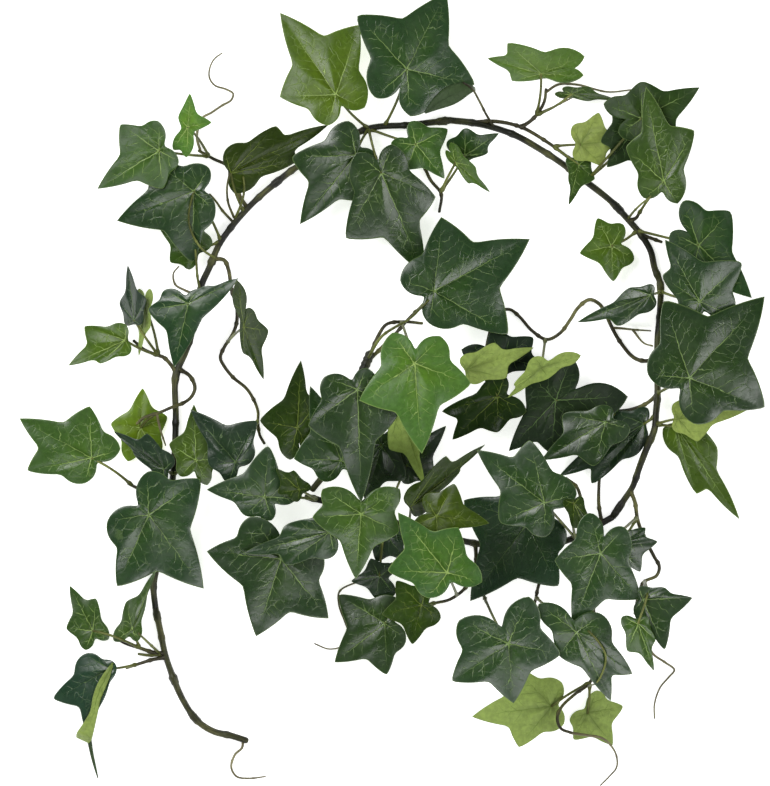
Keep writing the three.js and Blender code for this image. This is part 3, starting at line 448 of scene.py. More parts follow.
# Leaves that lie in the shade of others or turned from the light, and so shine less
MATT = ["ne_dark", "ne_back", "mid_black", "mid_shadow", "east_top"]

# Leaves whose shade stands out from their colour: brightness, and how warm from -1 to 1
SHADES = {
    "sage": (0.9, -0.85), "crown_left": (0.95, 0.7), "centre_light": (1.2, -0.5),
    "west_lime": (1.5, 1.0), "ne_back": (1.1, 0.9), "ne_dark": (1.1, 0.8), "olive_mid": (1.5, 0.8),
    "south_olive": (1.5, -0.1), "mid_olive": (0.8, -0.8), "south_blue": (1.6, -0.2),
    "tail_dark": (1.6, -0.5), "upper_light": (1.3, 0.1), "west_top_small": (1.65, -0.4),
    "west_top_outer": (1.15, -0.4), "crown_grey": (1.2, -0.5), "west_dark": (1.15, -0.6),
    "centre_pale": (1.25, 0.0), "east_tail": (1.1, 0.8), "west_star": (1.25, -0.3),
    "west_bright": (0.9, 0.2), "ne_pale": (0.9, 0.2), "west_round": (1.0, 0.6),
    "crown_right": (1.2, -0.2), "west_top_inner": (1.0, 0.5), "se_low": (1.1, 0.1),
    "crown_dark_big": (0.95, 0.3), "west_low_big": (1.1, -0.3), "centre_dark": (1.1, -0.2),
    # mid_shadow is made darker because it lies under other leaves: painted shade
    "mid_shadow": (0.6, 0.0), "mid_black": (0.75, 0.5), "pale_strip": (1.1, 0.0),
    "south_star": (1.0, 0.5),
}


# --- Materials -----------------------------------------------------------------------------
#
# Noise scales are for each metre of the object; vein sizes are in millimetres.


class Nodes:
    """Short calls that add nodes to one material's or group's tree."""

    def __init__(self, tree):
        self.tree = tree

    def add(self, kind, **settings):
        node = self.tree.nodes.new(kind)
        for name, value in settings.items():
            setattr(node, name, value)
        return node

    def join(self, source, socket):
        if isinstance(source, bpy.types.NodeSocket):
            self.tree.links.new(source, socket)
        else:
            socket.default_value = source

    def math(self, operation, a, b=0.0, c=0.0):
        node = self.add("ShaderNodeMath", operation=operation)
        for source, socket in zip((a, b, c), node.inputs):
            self.join(source, socket)
        return node.outputs[0]

    def ramp(self, value, low, high, out_low=0.0, out_high=1.0):
        """Leads smoothly from one number to another while the value goes from low to high."""
        node = self.add("ShaderNodeMapRange", interpolation_type="SMOOTHSTEP")
        for source, socket in zip((value, low, high, out_low, out_high), node.inputs):
            self.join(source, socket)
        return node.outputs[0]

    def mix(self, share, a, b, blend_type="MIX"):
        node = self.add("ShaderNodeMix", data_type="RGBA", blend_type=blend_type)
        self.join(share, node.inputs[0])
        self.join(a, node.inputs[6])
        self.join(b, node.inputs[7])
        return node.outputs[2]

    def noise(self, place, scale, detail=2.0, roughness=0.5):
        node = self.add("ShaderNodeTexNoise")
        self.join(place, node.inputs["Vector"])
        node.inputs["Scale"].default_value = scale
        node.inputs["Detail"].default_value = detail
        node.inputs["Roughness"].default_value = roughness
        return node.outputs["Fac"]

    def shaded(self, colour, shade):
        """The colour made lighter or darker by a number."""
        grey = self.add("ShaderNodeCombineColor")
        for socket in grey.inputs:
            self.join(shade, socket)
        return self.mix(1.0, colour, grey.outputs[0], "MULTIPLY")

    def emboss(self, shader, height, strength, distance):
        bump = self.add("ShaderNodeBump")
        bump.inputs["Strength"].default_value = strength
        bump.inputs["Distance"].default_value = distance
        self.join(height, bump.inputs["Height"])
        self.join(bump.outputs[0], shader.inputs["Normal"])


def new_material(name, colour):
    """A material with its node helper and its shader."""
    material = bpy.data.materials.new(name)
    material.use_nodes = True
    material.diffuse_color = colour
    nodes = Nodes(material.node_tree)
    shader = material.node_tree.nodes["Principled BSDF"]
    return material, nodes, shader


def vein_group():
    """Masks for a blade: its veins from coarse to fine, rim, patches, cells, and the creases where
    shade is painted.

    The UV map "lobe" holds a place's distance along and across the nearest main vein, and
    "reach" its share of the vein's length and of the way out to the rim.
    """
    tree = bpy.data.node_groups.new("leaf_veins", "ShaderNodeTree")
    for name in ("Main", "Side", "Net", "Rim", "Patch", "Cell", "Crease"):
        tree.interface.new_socket(name, in_out="OUTPUT", socket_type="NodeSocketFloat")
    nodes = Nodes(tree)
    lobe = nodes.add("ShaderNodeSeparateXYZ")
    reach = nodes.add("ShaderNodeSeparateXYZ")
    nodes.join(nodes.add("ShaderNodeUVMap", uv_map="lobe").outputs[0], lobe.inputs[0])
    nodes.join(nodes.add("ShaderNodeUVMap", uv_map="reach").outputs[0], reach.inputs[0])
    place = nodes.add("ShaderNodeTexCoord").outputs["Object"]
    along, across = lobe.outputs[0], lobe.outputs[1]
    share, rim = reach.outputs[0], reach.outputs[1]
    # How far off the main vein a place is, with the vein wandering a little
    wander = nodes.math("SUBTRACT", nodes.noise(place, 260, 1), 0.5)
    off = nodes.math("ABSOLUTE", nodes.math("MULTIPLY_ADD", wander, 1.3, across))

    # The main vein: wider by the stalk, tapering outward and gone before the tip
    taper = nodes.ramp(share, 0.0, 0.95, 0.28, 0.08)
    half_width = nodes.math("ADD", taper, nodes.ramp(share, 0.0, 0.12, 0.32, 0.0))
    main = nodes.ramp(nodes.math("DIVIDE", off, half_width), 0.7, 1.5, 1.0, 0.0)
    main = nodes.math("MULTIPLY", main, nodes.ramp(share, 0.5, 0.88, 1.0, 0.0))

    # Side veins, which fade away from the main one and stop short of the rim
    gap = 6.5
    slant = -0.85  # forward along the main vein
    stagger = 1.6  # sets those on the left off from those on the right
    positive = 200.0  # keeps the phase above 0
    phase = nodes.math("MULTIPLY_ADD", off, slant, along)
    phase = nodes.math("MULTIPLY_ADD", wander, 4.0, phase)
    phase = nodes.math("MULTIPLY_ADD", nodes.math("SIGN", across), stagger, phase)
    place_in_gap = nodes.math("FRACT", nodes.math("DIVIDE", nodes.math("ADD", phase, positive), gap))
    from_line = nodes.math("ABSOLUTE", nodes.math("SUBTRACT", place_in_gap, 0.5))
    side = nodes.ramp(nodes.math("MULTIPLY", from_line, gap), 0.06, 0.26, 1.0, 0.0)
    side = nodes.math("MULTIPLY", side, nodes.ramp(off, 3.0, 13.0, 1.0, 0.12))
    side = nodes.math("MULTIPLY", side, nodes.ramp(rim, 0.7, 0.93, 1.0, 0.0))
    side = nodes.math("MULTIPLY", side, nodes.ramp(nodes.noise(place, 150, 1), 0.36, 0.56))

    # The fine net: the edges of small cells, in patches
    cells = nodes.add("ShaderNodeTexVoronoi", feature="DISTANCE_TO_EDGE")
    nodes.join(place, cells.inputs["Vector"])
    cells.inputs["Scale"].default_value = 210
    net = nodes.ramp(cells.outputs["Distance"], 0.0, 0.055, 1.0, 0.0)
    net = nodes.math("MULTIPLY", net, nodes.ramp(nodes.noise(place, 110, 2), 0.45, 0.62))
    net = nodes.math("MULTIPLY", net, nodes.ramp(rim, 0.8, 0.98, 1.0, 0.0))

    # Broad patches of shade, the swell of each cell, and painted shade in the crease by the main vein
    patch = nodes.noise(place, 48, 3)
    cell = nodes.ramp(cells.outputs["Distance"], 0.0, 0.3)
    # Painted shade: a mask that darkens the colour in the crease beside the main vein
    crease_shade = nodes.ramp(off, 0.3, 2.8, 1.0, 0.0)
    crease_shade = nodes.math("MULTIPLY", crease_shade, nodes.ramp(share, 0.1, 0.6, 1.0, 0.0))
    out = nodes.add("NodeGroupOutput")
    for socket, source in zip(out.inputs, (main, side, net, rim, patch, cell, crease_shade)):
        nodes.join(source, socket)
    return tree


VEINS = vein_group()


def blade_material(name, near, far, vein, vein_strength, roughness, relief, gloss_level):
    """One face of a blade: mottled green, with its veins, their relief and a thin pale rim."""
    material, nodes, shader = new_material(name, linear(*far))
    veins = nodes.add("ShaderNodeGroup", node_tree=VEINS)
    main, side, net, rim, patch, cell, crease_shade = veins.outputs[:7]
    place = nodes.add("ShaderNodeTexCoord").outputs["Object"]
    tint = nodes.add("ShaderNodeAttribute", attribute_name="tint").outputs["Vector"]

    # Colour: greener by the veins than by the rim, mottled, with painted shade in the creases
    toward_rim = nodes.math("MULTIPLY_ADD", nodes.math("SUBTRACT", patch, 0.5), 1.4, rim)
    colour = nodes.mix(nodes.ramp(toward_rim, 0.15, 0.95), linear(*near), linear(*far))
    mottle = nodes.ramp(nodes.noise(place, 420, 3, 0.6), 0.3, 0.7, 0.86, 1.12)
    # Painted shade: the colour is made darker in the creases
    shade = nodes.math("MULTIPLY", mottle, nodes.math("MULTIPLY_ADD", crease_shade, -0.3, 1.0))
    colour = nodes.shaded(colour, shade)
    colour = nodes.mix(1.0, colour, tint, "MULTIPLY")
    # The veins and a thin rim are painted over it
    lines = nodes.math("MAXIMUM", main, nodes.math("MULTIPLY", side, 0.85))
    lines = nodes.math("MAXIMUM", lines, nodes.math("MULTIPLY", net, 0.26))
    colour = nodes.mix(nodes.math("MULTIPLY", lines, vein_strength), colour, linear(*vein))
    edge = nodes.ramp(rim, 0.975, 1.0, 0.0, 0.45)
    colour = nodes.mix(edge, colour, linear(*vein))
    nodes.join(colour, shader.inputs["Base Color"])

    # Gloss in clouds, and the relief of veins and cells
    cloud = nodes.noise(place, 90, 2)
    dullness = nodes.ramp(cloud, 0.3, 0.7, roughness - 0.05, roughness + 0.06)
    nodes.join(dullness, shader.inputs["Roughness"])
    shader.inputs["Specular IOR Level"].default_value = gloss_level
    grain = nodes.math("MULTIPLY", nodes.noise(place, 1500, 2), 0.015)
    height = nodes.math("MULTIPLY_ADD", lines, relief, grain)
    height = nodes.math("MULTIPLY_ADD", cell, 0.11, height)
    height = nodes.math("MULTIPLY_ADD", nodes.noise(place, 130, 2), 0.35, height)
    nodes.emboss(shader, height, 0.5, 0.6 * MM)
    return material


def bark_material(name, dark, middle, light, roughness):
    """Moulded bark: long streaks of three browns and greens, with fine ridges; the palest is partly
    the bark's own khaki and partly painted highlight.
    """
    material, nodes, shader = new_material(name, linear(*middle))
    grain = nodes.add("ShaderNodeAttribute", attribute_name="grain").outputs["Vector"]
    place = nodes.add("ShaderNodeTexCoord").outputs["Object"]
    streak = nodes.noise(grain, 900, 3, 0.6)
    patch = nodes.noise(place, 60, 3)
    colour = nodes.mix(nodes.ramp(streak, 0.35, 0.65), linear(*dark), linear(*middle))
    # The palest colour, in patches along the streaks: partly the bark's own khaki, partly painted
    # highlight
    in_streak = nodes.ramp(streak, 0.4, 0.7, 0.3, 0.95)
    pale = nodes.math("MULTIPLY", nodes.ramp(patch, 0.44, 0.64), in_streak)
    colour = nodes.mix(pale, colour, linear(*light))
    nodes.join(colour, shader.inputs["Base Color"])
    dullness = nodes.ramp(patch, 0.3, 0.7, roughness - 0.08, roughness + 0.1)
    nodes.join(dullness, shader.inputs["Roughness"])
    shader.inputs["Specular IOR Level"].default_value = 0.35
    fine = nodes.math("MULTIPLY", nodes.noise(place, 1400, 2), 0.4)
    height = nodes.math("ADD", streak, fine)
    nodes.emboss(shader, height, 0.6, 0.4 * MM)
    return material


# Each bark's third colour is its palest: partly its own khaki, partly painted highlight
STEM_BARK = bark_material("stem_bark", (14, 16, 9), (30, 32, 18), (92, 94, 54), 0.48)
TAIL_BARK = bark_material("tail_bark", (30, 32, 18), (60, 62, 36), (108, 108, 66), 0.48)
TWIG_BARK = bark_material("twig_bark", (30, 27, 16), (60, 57, 33), (122, 122, 72), 0.5)
STALK_SKIN = bark_material("stalk_skin", (60, 64, 26), (90, 96, 42), (134, 142, 76), 0.45)
TENDRIL_SKIN = bark_material("tendril_skin", (72, 66, 44), (112, 107, 76), (152, 148, 112), 0.5)
SKINS = {"twig": TWIG_BARK, "stalk": STALK_SKIN, "tendril": TENDRIL_SKIN}

LEAF_FACES = {}
MATT_TOPS = {}
for shade_name, (near, far, vein, under, under_vein) in LEAF_COLOURS.items():
    gloss = GLOSS[shade_name]
    LEAF_FACES[shade_name] = (
        blade_material(f"leaf_{shade_name}_top", near, far, vein, 0.7, 0.3, -0.8, gloss),
        blade_material(f"leaf_{shade_name}_under", under, under, under_vein, 0.65, 0.55, 0.9, 0.3),
    )
    if shade_name in ("deep", "dark"):  # the colours of all leaves in MATT
        matt_name = f"leaf_{shade_name}_matt"
        MATT_TOPS[shade_name] = blade_material(matt_name, near, far, vein, 0.7, 0.42, -0.8, 0.2)


# --- Meshes --------------------------------------------------------------------------------


def add_piece(name, places, faces, materials, node):
    """A mesh object in the row frame, from places in millimetres."""
    mesh = bpy.data.meshes.new(name)
    mesh.from_pydata([tuple(place) for place in np.asarray(places) * MM], [], faces)
    for material in materials:
        mesh.materials.append(material)
    mesh.shade_smooth()
    piece = bpy.data.objects.new(name, mesh)
    bpy.context.scene.collection.objects.link(piece)
    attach(piece, BODY)
    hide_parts(node)
    return piece


laid = []  # search trees of the pieces made so far, with the box of each


def lay(places, faces):
    """Notes a piece, so that what is made later can lie over it."""
    places = np.asarray(places)
    tree = BVHTree.FromPolygons([Vector(place) for place in places], faces)
    laid.append((tree, places.min(0), places.max(0)))


def top_at(x, y):
    """The height of the highest piece made so far at a place of the plan, or 0."""
    top = 0.0
    for tree, low, high in laid:
        if low[0] <= x <= high[0] and low[1] <= y <= high[1] and high[2] > top:
            hit = tree.ray_cast(Vector((x, y, high[2] + 1)), Vector((0, 0, -1)))[0]
            if hit:
                top = max(top, hit.z)
    return top


def centred(x, y):
    return np.array([x - MIDDLE[0], y - MIDDLE[1]], float)


def turned(step):
    """A step of the plan, turned a quarter to the left."""
    return np.array([-step[1], step[0]])


def add_tint(mesh, shade):
    tint = mesh.attributes.new("tint", "FLOAT_VECTOR", "POINT")
    tint.data.foreach_set("vector", np.tile(shade, len(mesh.vertices)))


# --- Tubes ---------------------------------------------------------------------------------

# The step along a tube, and the sides round it
STEM_STEP = 0.8
STEM_SIDES = 14
BUTT_SIDES = 16
TWIG_STEP = 0.7
TWIG_SIDES = 10
FINE_SIDES = 8
FINE_STEP = 0.6

# Swellings of a stem, twig and tendril
KNOT_GAP = 23.0
KNOT_SWELL = 0.36
COLLAR_SWELL = 0.42
JOINT_GAP = 17.0
TENDRIL_KNOTS = [14.0, 33.0]


def smooth_line(points, places=10):
    """Points on the centripetal Catmull-Rom curve through the given ones."""
    points = [np.array(point, float) for point in points]
    knots = [2 * points[0] - points[1], *points, 2 * points[-1] - points[-2]]
    gaps = [max(np.linalg.norm(q - p) ** 0.5, 1e-3) for p, q in zip(knots, knots[1:])]
    line = [points[0]]
    for k in range(len(points) - 1):
        a, b, c, d = knots[k : k + 4]
        before, here, after = gaps[k : k + 3]
        leave = (b - a) / before - (c - a) / (before + here) + (c - b) / here
        arrive = (c - b) / here - (d - b) / (here + after) + (d - c) / after
        for m in range(1, places + 1):
            t = m / places
            line.append(
                (2 * t**3 - 3 * t**2 + 1) * b
                + (t**3 - 2 * t**2 + t) * here * leave
                + (3 * t**2 - 2 * t**3) * c
                + (t**3 - t**2) * here * arrive
            )
    return np.array(line)


def evenly(line, step):
    """The line's points again, an even step apart, with the distance along of each."""
    runs = np.linalg.norm(np.diff(line, axis=0), axis=1)
    along = np.concatenate([[0], np.cumsum(runs)])
    count = max(4, int(round(along[-1] / step)))
    places = np.linspace(0, along[-1], count + 1)
    points = np.column_stack([np.interp(places, along, line[:, k]) for k in range(3)])
    return points, places


def tube(line, radii, sides, ridge):
    """Places, faces and grain of a round tube with closed, rounded ends.

    A ridge makes the tube three-sided by that share of its radius. The grain says where a
    place lies round and along the tube, for the streaks of its bark.
    """
    twist = 0.03  # turn of the ridges for each millimetre
    grain_round = 0.002
    grain_along = 0.00008
    ahead = np.gradient(line, axis=0)
    ahead /= np.linalg.norm(ahead, axis=1)[:, None]
    side = np.cross(ahead[0], [0, 0, 1.0])
    if np.linalg.norm(side) < 0.1:
        side = np.array([1.0, 0, 0])
    along = np.concatenate([[0], np.cumsum(np.linalg.norm(np.diff(line, axis=0), axis=1))])
    turns = np.arange(sides) * 2 * math.pi / sides
    places, grain = [], []
    rings = [(0, -0.5, 0.5), *((k, 0.0, 1.0) for k in range(len(line))), (len(line) - 1, 0.5, 0.5)]
    for k, push, size in rings:
        side = side - ahead[k] * side.dot(ahead[k])
        side /= np.linalg.norm(side)
        up = np.cross(side, ahead[k])
        radius = radii[k] * size * (1 + ridge * np.cos(3 * turns + along[k] * twist))
        ring = np.outer(radius * np.cos(turns), side) + np.outer(radius * np.sin(turns), up)
        places.extend(line[k] + ahead[k] * push * radii[k] + ring)
        for turn in turns:
            round_it = (math.cos(turn) * grain_round, math.sin(turn) * grain_round)
            grain.append((*round_it, along[k] * grain_along))
    faces = []
    for k in range(len(rings) - 1):
        for m in range(sides):
            here = k * sides + m
            beside = k * sides + (m + 1) % sides
            faces.append((here, here + sides, beside + sides, beside))
    last = (len(rings) - 1) * sides
    faces.append(tuple(range(sides)))
    faces.append(tuple(last + m for m in reversed(range(sides))))
    return places, faces, grain


def add_tube(name, line, radii, sides, material, node, ridge=0.0):
    places, faces, grain = tube(line, radii, sides, ridge)
    piece = add_piece(name, places, faces, [material], node)
    attribute = piece.data.attributes.new("grain", "FLOAT_VECTOR", "POINT")
    attribute.data.foreach_set("vector", np.array(grain).ravel())
    lay(places, faces)


def route_line(route):
    """The smooth middle line of a route from the tables, in the row frame."""
    points = [(x - MIDDLE[0], y - MIDDLE[1], z + RAISE) for x, y, z in route]
    return smooth_line(points)


def bumps(places, at, height, width):
    """Swellings of a tube at the given distances along."""
    total = np.zeros(len(places))
    for place in at:
        total += height * np.exp(-(((places - place) / width) ** 2))
    return total


def add_stem(node, route):
    """A stretch of the main stem, thicker in sleeves where two lengths meet."""
    line, places = evenly(route_line(route), STEM_STEP)
    overlap = 0.8  # in steps: the stretches meet inside each other
    line[0] += (line[0] - line[1]) * overlap
    line[-1] += (line[-1] - line[-2]) * overlap
    uneven = np.array([noise.noise(Vector(point) * 0.06) for point in line])
    radii = STEM_RADIUS * (0.94 + 0.08 * uneven)
    for name, share in COLLARS:
        if name == node:
            from_end = COLLAR_LENGTH / 2 + 0.4 - np.abs(places - share * places[-1])
            radii += COLLAR_SWELL * np.clip(1.2 * from_end, 0, 1)
    knots = np.arange(KNOT_GAP / 2 - 0.5, places[-1], KNOT_GAP)
    radii += bumps(places, knots, KNOT_SWELL, 1.5)
    skin = TAIL_BARK if node == "stem_tail" else STEM_BARK
    add_tube(f"{node}_bark", line, radii, STEM_SIDES, skin, node, ridge=0.06)


def add_twig(number, node, radius, route):
    """A jointed side twig, a tendril that thins to its tip, or the stem's wrapped end."""
    line, places = evenly(route_line(route), TWIG_STEP)
    share = places / places[-1]
    if radius == TENDRIL_RADIUS:
        radii = radius * (1.3 - 0.62 * share) + bumps(places, TENDRIL_KNOTS, 0.16, 0.7)
        add_tube(f"{node}_tendril_{number:02d}", line, radii, FINE_SIDES, TENDRIL_SKIN, node)
    elif radius == BUTT_RADIUS:
        radii = radius * (0.9 + 0.06 * np.cos(places * 2.2))
        add_tube(f"{node}_wrapped_end", line, radii, BUTT_SIDES, STEM_BARK, node)
    else:
        joints = np.arange(9.0, places[-1] - 3, JOINT_GAP)
        radii = radius * (1.08 - 0.3 * share)
        radii += bumps(places, joints, KNOT_SWELL, 0.9)
        radii += bumps(places, [0.0], 0.6, 2.0)
        add_tube(f"{node}_twig_{number:02d}", line, radii, TWIG_SIDES, TWIG_BARK, node)


# --- Blades --------------------------------------------------------------------------------


class Leaf:
    """A row of the leaf tables, in the row frame's plan."""

    def __init__(self, row):
        self.name, self.colour, at, tips, (azimuth, tilt), foot = row[:6]
        self.node = row[6] if len(row) > 6 else self.name
        self.junction = centred(*at)
        self.tips = self.from_junction(tips)
        self.bays = BAYS
        azimuth = math.radians(azimuth)
        self.uphill = np.array([math.cos(azimuth), math.sin(azimuth)])
        self.tilt = math.radians(tilt)
        self.foot = centred(*foot)
        self.reach = max(np.linalg.norm(tip) for tip in self.tips)
        self.random = random.Random(self.name)
        self.height = self.height_in_frame()
        if self.name in FOLDED:
            tips, self.bays = FOLDED[self.name]
            self.tips = self.from_junction(tips)

    def from_junction(self, tips):
        pairs = zip(tips[::2], tips[1::2])
        return [(centred(*pair) - self.junction) * LEAF_SCALE for pair in pairs]

    def lift(self, place):
        """How far the blade's middle sheet lies above its junction there."""
        slope = math.tan(self.tilt) * (place @ self.uphill)
        return slope - DROOP * (place**2).sum(-1) / self.reach

    def height_in_frame(self):
        """The junction's height, from the blade's own tips in its CAD node."""
        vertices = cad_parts[self.node].data.vertices
        corners = np.array([vertex.co for vertex in vertices]) / MM
        half = BLADE / 2 / math.cos(self.tilt)
        near = 0.05
        found = []
        for tip in self.tips:
            away = np.hypot(*(corners[:, :2] - self.junction - tip).T)
            if away.min() < near:
                found.append(corners[away < near, 2].max() - half - self.lift(tip))
        return float(np.median(found))


STRETCH = 9  # rim places between a tip and a bay
RUN = 2 * STRETCH  # rim places between a tip and the next
ROUND = [0.035, 0.045, 0.17, 0.17, 0.045]  # how round the lobes are, a little less than in CAD
SINUS_ROUND = 0.2  # how round the base lobes are on the stalk's side
BAY_BLUNT = 2.0  # how far the rim is smoothed at a bay
RINGS = [0.04, 0.1, 0.18, 0.28, 0.39, 0.5, 0.6, 0.7, 0.79, 0.87, 0.935, 0.98, 1.0]

# Half the blade's thickness at some shares of the way out to its rim
HALF_THICK = 0.26
THINNING = [[0, 0.2, 0.97, 1.0], [HALF_THICK, 0.2, 0.17, 0.09]]

# How uneven a blade is, and at what scale
UNEVEN = 1.4
UNEVEN_SCALE = 15


def rim_layout(lobes):
    """For each rim place, 0 on a main vein to 1 at a bay, and the lobe that it belongs to."""
    k = np.arange(lobes * RUN)
    share = k % RUN / RUN
    return 1 - np.abs(2 * share - 1), (k // RUN + (share >= 0.5)) % lobes


def outline(leaf):
    """Rim places round the blade. Each lobe's tip comes first in its run, then the bay.

    The middle lobe ends in a sharp tip, and the others in more or less blunt ones.
    """
    rim = []
    tips = leaf.tips
    chance = random.Random(leaf.name + " tips")
    bluntest = 2.6 if leaf.colour in ("dark", "deep") else 1.3
    blunt = [0.8, *(chance.uniform(0.7, bluntest) for _ in tips[1:])]

    def shoulder(tip, bay, bulge):
        run = tip - bay
        side = np.sign(tip[0] * bay[1] - tip[1] * bay[0])
        return (tip + bay) / 2 + turned(run) * side * bulge

    def arc(start, through, end):
        control = 2 * through - (start + end) / 2
        for k in range(STRETCH):
            t = k / STRETCH
            rim.append((1 - t) ** 2 * start + 2 * t * (1 - t) * control + t**2 * end)

    for k, tip in enumerate(tips):
        after = tips[(k + 1) % len(tips)]
        bay = (tip + after) * leaf.bays[k] / 2
        if k == SINUS:
            arc(tip, shoulder(tip, bay, SINUS_ROUND), bay)
            arc(bay, shoulder(after, bay, SINUS_ROUND), after)
        else:
            arc(tip, shoulder(tip, bay, ROUND[k]), bay)
            arc(bay, shoulder(after, bay, ROUND[(k + 1) % len(tips)]), after)
    rim = np.array(rim)
    runs = np.linalg.norm(np.roll(rim, -1, axis=0) - rim, axis=1)
    along = np.concatenate([[0], np.cumsum(runs)[:-1]])
    length = runs.sum()
    apart = np.abs(along[:, None] - along[None, :])
    apart = np.minimum(apart, length - apart)
    valley, lobe = rim_layout(len(tips))
    at_tip = np.array(blunt)[lobe]
    ease = (at_tip + (BAY_BLUNT - at_tip) * valley)[:, None]
    weight = np.exp(-(apart**2) / 2 / ease**2) * (runs + np.roll(runs, 1))
    return weight @ rim / weight.sum(1)[:, None]


def blade_surface(leaf):
    """The middle sheet of a blade as rings of places, with its creases, pillows and curl."""
    rim = outline(leaf)
    valley, lobe = rim_layout(len(leaf.tips))
    pillow = leaf.random.uniform(0.014, 0.022) * leaf.reach
    curls = [leaf.random.uniform(-0.5, 0.5) for _ in leaf.tips]
    curl = np.array(curls)[lobe] * (1 - valley) ** 0.8
    wave_phase = leaf.random.uniform(0, 6.28)
    waves = 9
    wave = 0.22 * np.sin(np.arange(len(rim)) * 2 * math.pi / len(rim) * waves + wave_phase)
    uplift = leaf.lift(rim)
    rings = []
    for out in RINGS:
        swell = pillow * (4 * out * (1 - out)) ** 0.8 * valley**1.1
        plan = rim * out + leaf.junction
        spots = np.column_stack([plan, np.full(len(plan), leaf.height)]) / UNEVEN_SCALE
        uneven = np.array([noise.noise(Vector(spot)) for spot in spots])
        z = leaf.height + out * uplift + swell + curl * out**3 + wave * out**4
        rings.append(np.column_stack([plan, z + UNEVEN * out * uneven]))
    return np.array(rings)


def add_blade(leaf):
    """A thin closed blade with an upper face, an underside and the maps that its veins need."""
    rings = blade_surface(leaf)
    ring_count, count = rings.shape[:2]
    heart = np.array([*leaf.junction, leaf.height])
    lean = 1 / math.cos(leaf.tilt)
    thin = np.interp(RINGS, *THINNING) * lean
    turns = [a[0] * b[1] - a[1] * b[0] for a, b in zip(leaf.tips, np.roll(leaf.tips, -1, axis=0))]
    face_up = sum(turns) > 0
    places = []
    for sign in (1, -1):
        places.append(heart + [0, 0, sign * HALF_THICK * lean])
        for k, ring in enumerate(rings):
            places.extend(ring + [0, 0, sign * thin[k]])
    under = 1 + ring_count * count
    tips = [rings[-1, k * RUN] - heart for k in range(len(leaf.tips))]
    lobe_at = rim_layout(len(tips))[1]

    def index(ring, k):
        return 1 + ring * count + k % count

    faces, sheets, lobes = [], [], []

    def add_face(corners, top, lobe):
        """Corners run counterclockwise seen from above when the rim does."""
        faces.append(corners if face_up == top else corners[::-1])
        sheets.append(0 if top == face_up else 1)
        lobes.append(lobe)

    for k in range(count):
        lobe = lobe_at[k]
        for start, top in ((0, True), (under, False)):
            add_face((start, start + index(0, k), start + index(0, k + 1)), top, lobe)
            for r in range(ring_count - 1):
                quad = (index(r, k), index(r + 1, k), index(r + 1, k + 1), index(r, k + 1))
                add_face(tuple(start + q for q in quad), top, lobe)
        a, b = index(ring_count - 1, k), index(ring_count - 1, k + 1)
        add_face((a, under + a, under + b, b), True, lobe)
    faces_up = LEAF_FACES[leaf.colour]
    if leaf.name in MATT:
        faces_up = (MATT_TOPS[leaf.colour], faces_up[1])
    mesh = add_piece(f"{leaf.name}_blade", places, faces, faces_up, leaf.node).data
    mesh.polygons.foreach_set("material_index", sheets)
    places = np.array(places)
    lobe_map = mesh.uv_layers.new(name="lobe").data
    reach_map = mesh.uv_layers.new(name="reach").data
    lengths = [np.linalg.norm(tip) for tip in tips]
    outs = np.array([0.0, *np.repeat(RINGS, count)] * 2)
    for face, lobe in zip(mesh.polygons, lobes):
        ahead = tips[lobe] / lengths[lobe]
        for loop in face.loop_indices:
            vertex = mesh.loops[loop].vertex_index
            out = places[vertex] - heart
            along = out @ ahead
            across = ahead[0] * out[1] - ahead[1] * out[0]
            across = math.copysign(np.linalg.norm(out - along * ahead), across)
            lobe_map[loop].uv = (along, across)
            reach_map[loop].uv = (along / lengths[lobe], outs[vertex])
    by_chance = (leaf.random.uniform(0.88, 1.14), leaf.random.uniform(-0.25, 0.25))
    bright, warm = SHADES.get(leaf.name, by_chance)
    add_tint(mesh, (bright * (1 + 0.25 * warm), bright * (1 + 0.04 * warm), bright * (1 - 0.5 * warm)))
    lay(places, faces)


# --- Stalks --------------------------------------------------------------------------------

AIR = 0.45  # kept between a stalk and what it passes over
STALK_RADIUS = 0.75
LYING = STALK_RADIUS + 0.2  # the middle height of a stalk on the surface
DRAPE_STEP = 1.2


def nearest_on_stems(place):
    """The place on the stems' and twigs' middle lines that is nearest in plan."""
    away = np.hypot(*(middle_places[:, :2] - place).T)
    return middle_places[away.argmin()]


def taut(shares, heights):
    """The lowest line over the given heights that never bends upward, at the same shares."""
    kept = [0]
    for k in range(1, len(shares)):
        while len(kept) > 1:
            before, last = kept[-2:]
            rise = (heights[last] - heights[before]) * (shares[k] - shares[before])
            if rise > (heights[k] - heights[before]) * (shares[last] - shares[before]):
                break
            kept.pop()
        kept.append(k)
    return np.interp(shares, shares[kept], heights[kept])


def over_pieces(plan, away, heights):
    """The heights raised clear of the pieces below, from where the line has left its stem."""
    clear_of_stem = STEM_RADIUS + 1.2
    for k, (x, y) in enumerate(plan[1:-1], 1):
        if away[k] > clear_of_stem:
            top = top_at(x, y)
            if top > 0:
                heights[k] = max(heights[k], top + AIR + STALK_RADIUS)
    heights[1:-1] = np.maximum(heights[1:-1], LYING)
    heights = taut(away, heights)
    for _ in range(2):
        heights[1:-1] = (heights[:-2] + 2 * heights[1:-1] + heights[2:]) / 4
    return heights


def add_sprig(number, node, skin, radius, route):
    """A fine twig from inside its stem, over what it crosses or at the route's own heights."""
    if len(route[0]) == 3:
        line, places = evenly(route_line(route), TWIG_STEP)
    else:
        plan, places = evenly(route_line([(x, y, 0) for x, y in route]), DRAPE_STEP)
        heights = np.full(len(plan), LYING)
        heights[0] = nearest_on_stems(plan[0, :2])[2]
        heights[-1] = top_at(*plan[-1, :2]) + radius
        plan[:, 2] = over_pieces(plan[:, :2], places, heights)
        line, places = evenly(smooth_line(plan.tolist(), 3), FINE_STEP)
    radii = radius * (1.05 - 0.3 * places / places[-1])
    radii += bumps(places, [places[-1] * 0.4], 0.2, 0.8)
    add_tube(f"{node}_sprig_{number:02d}", line, radii, FINE_SIDES, SKINS[skin], node)


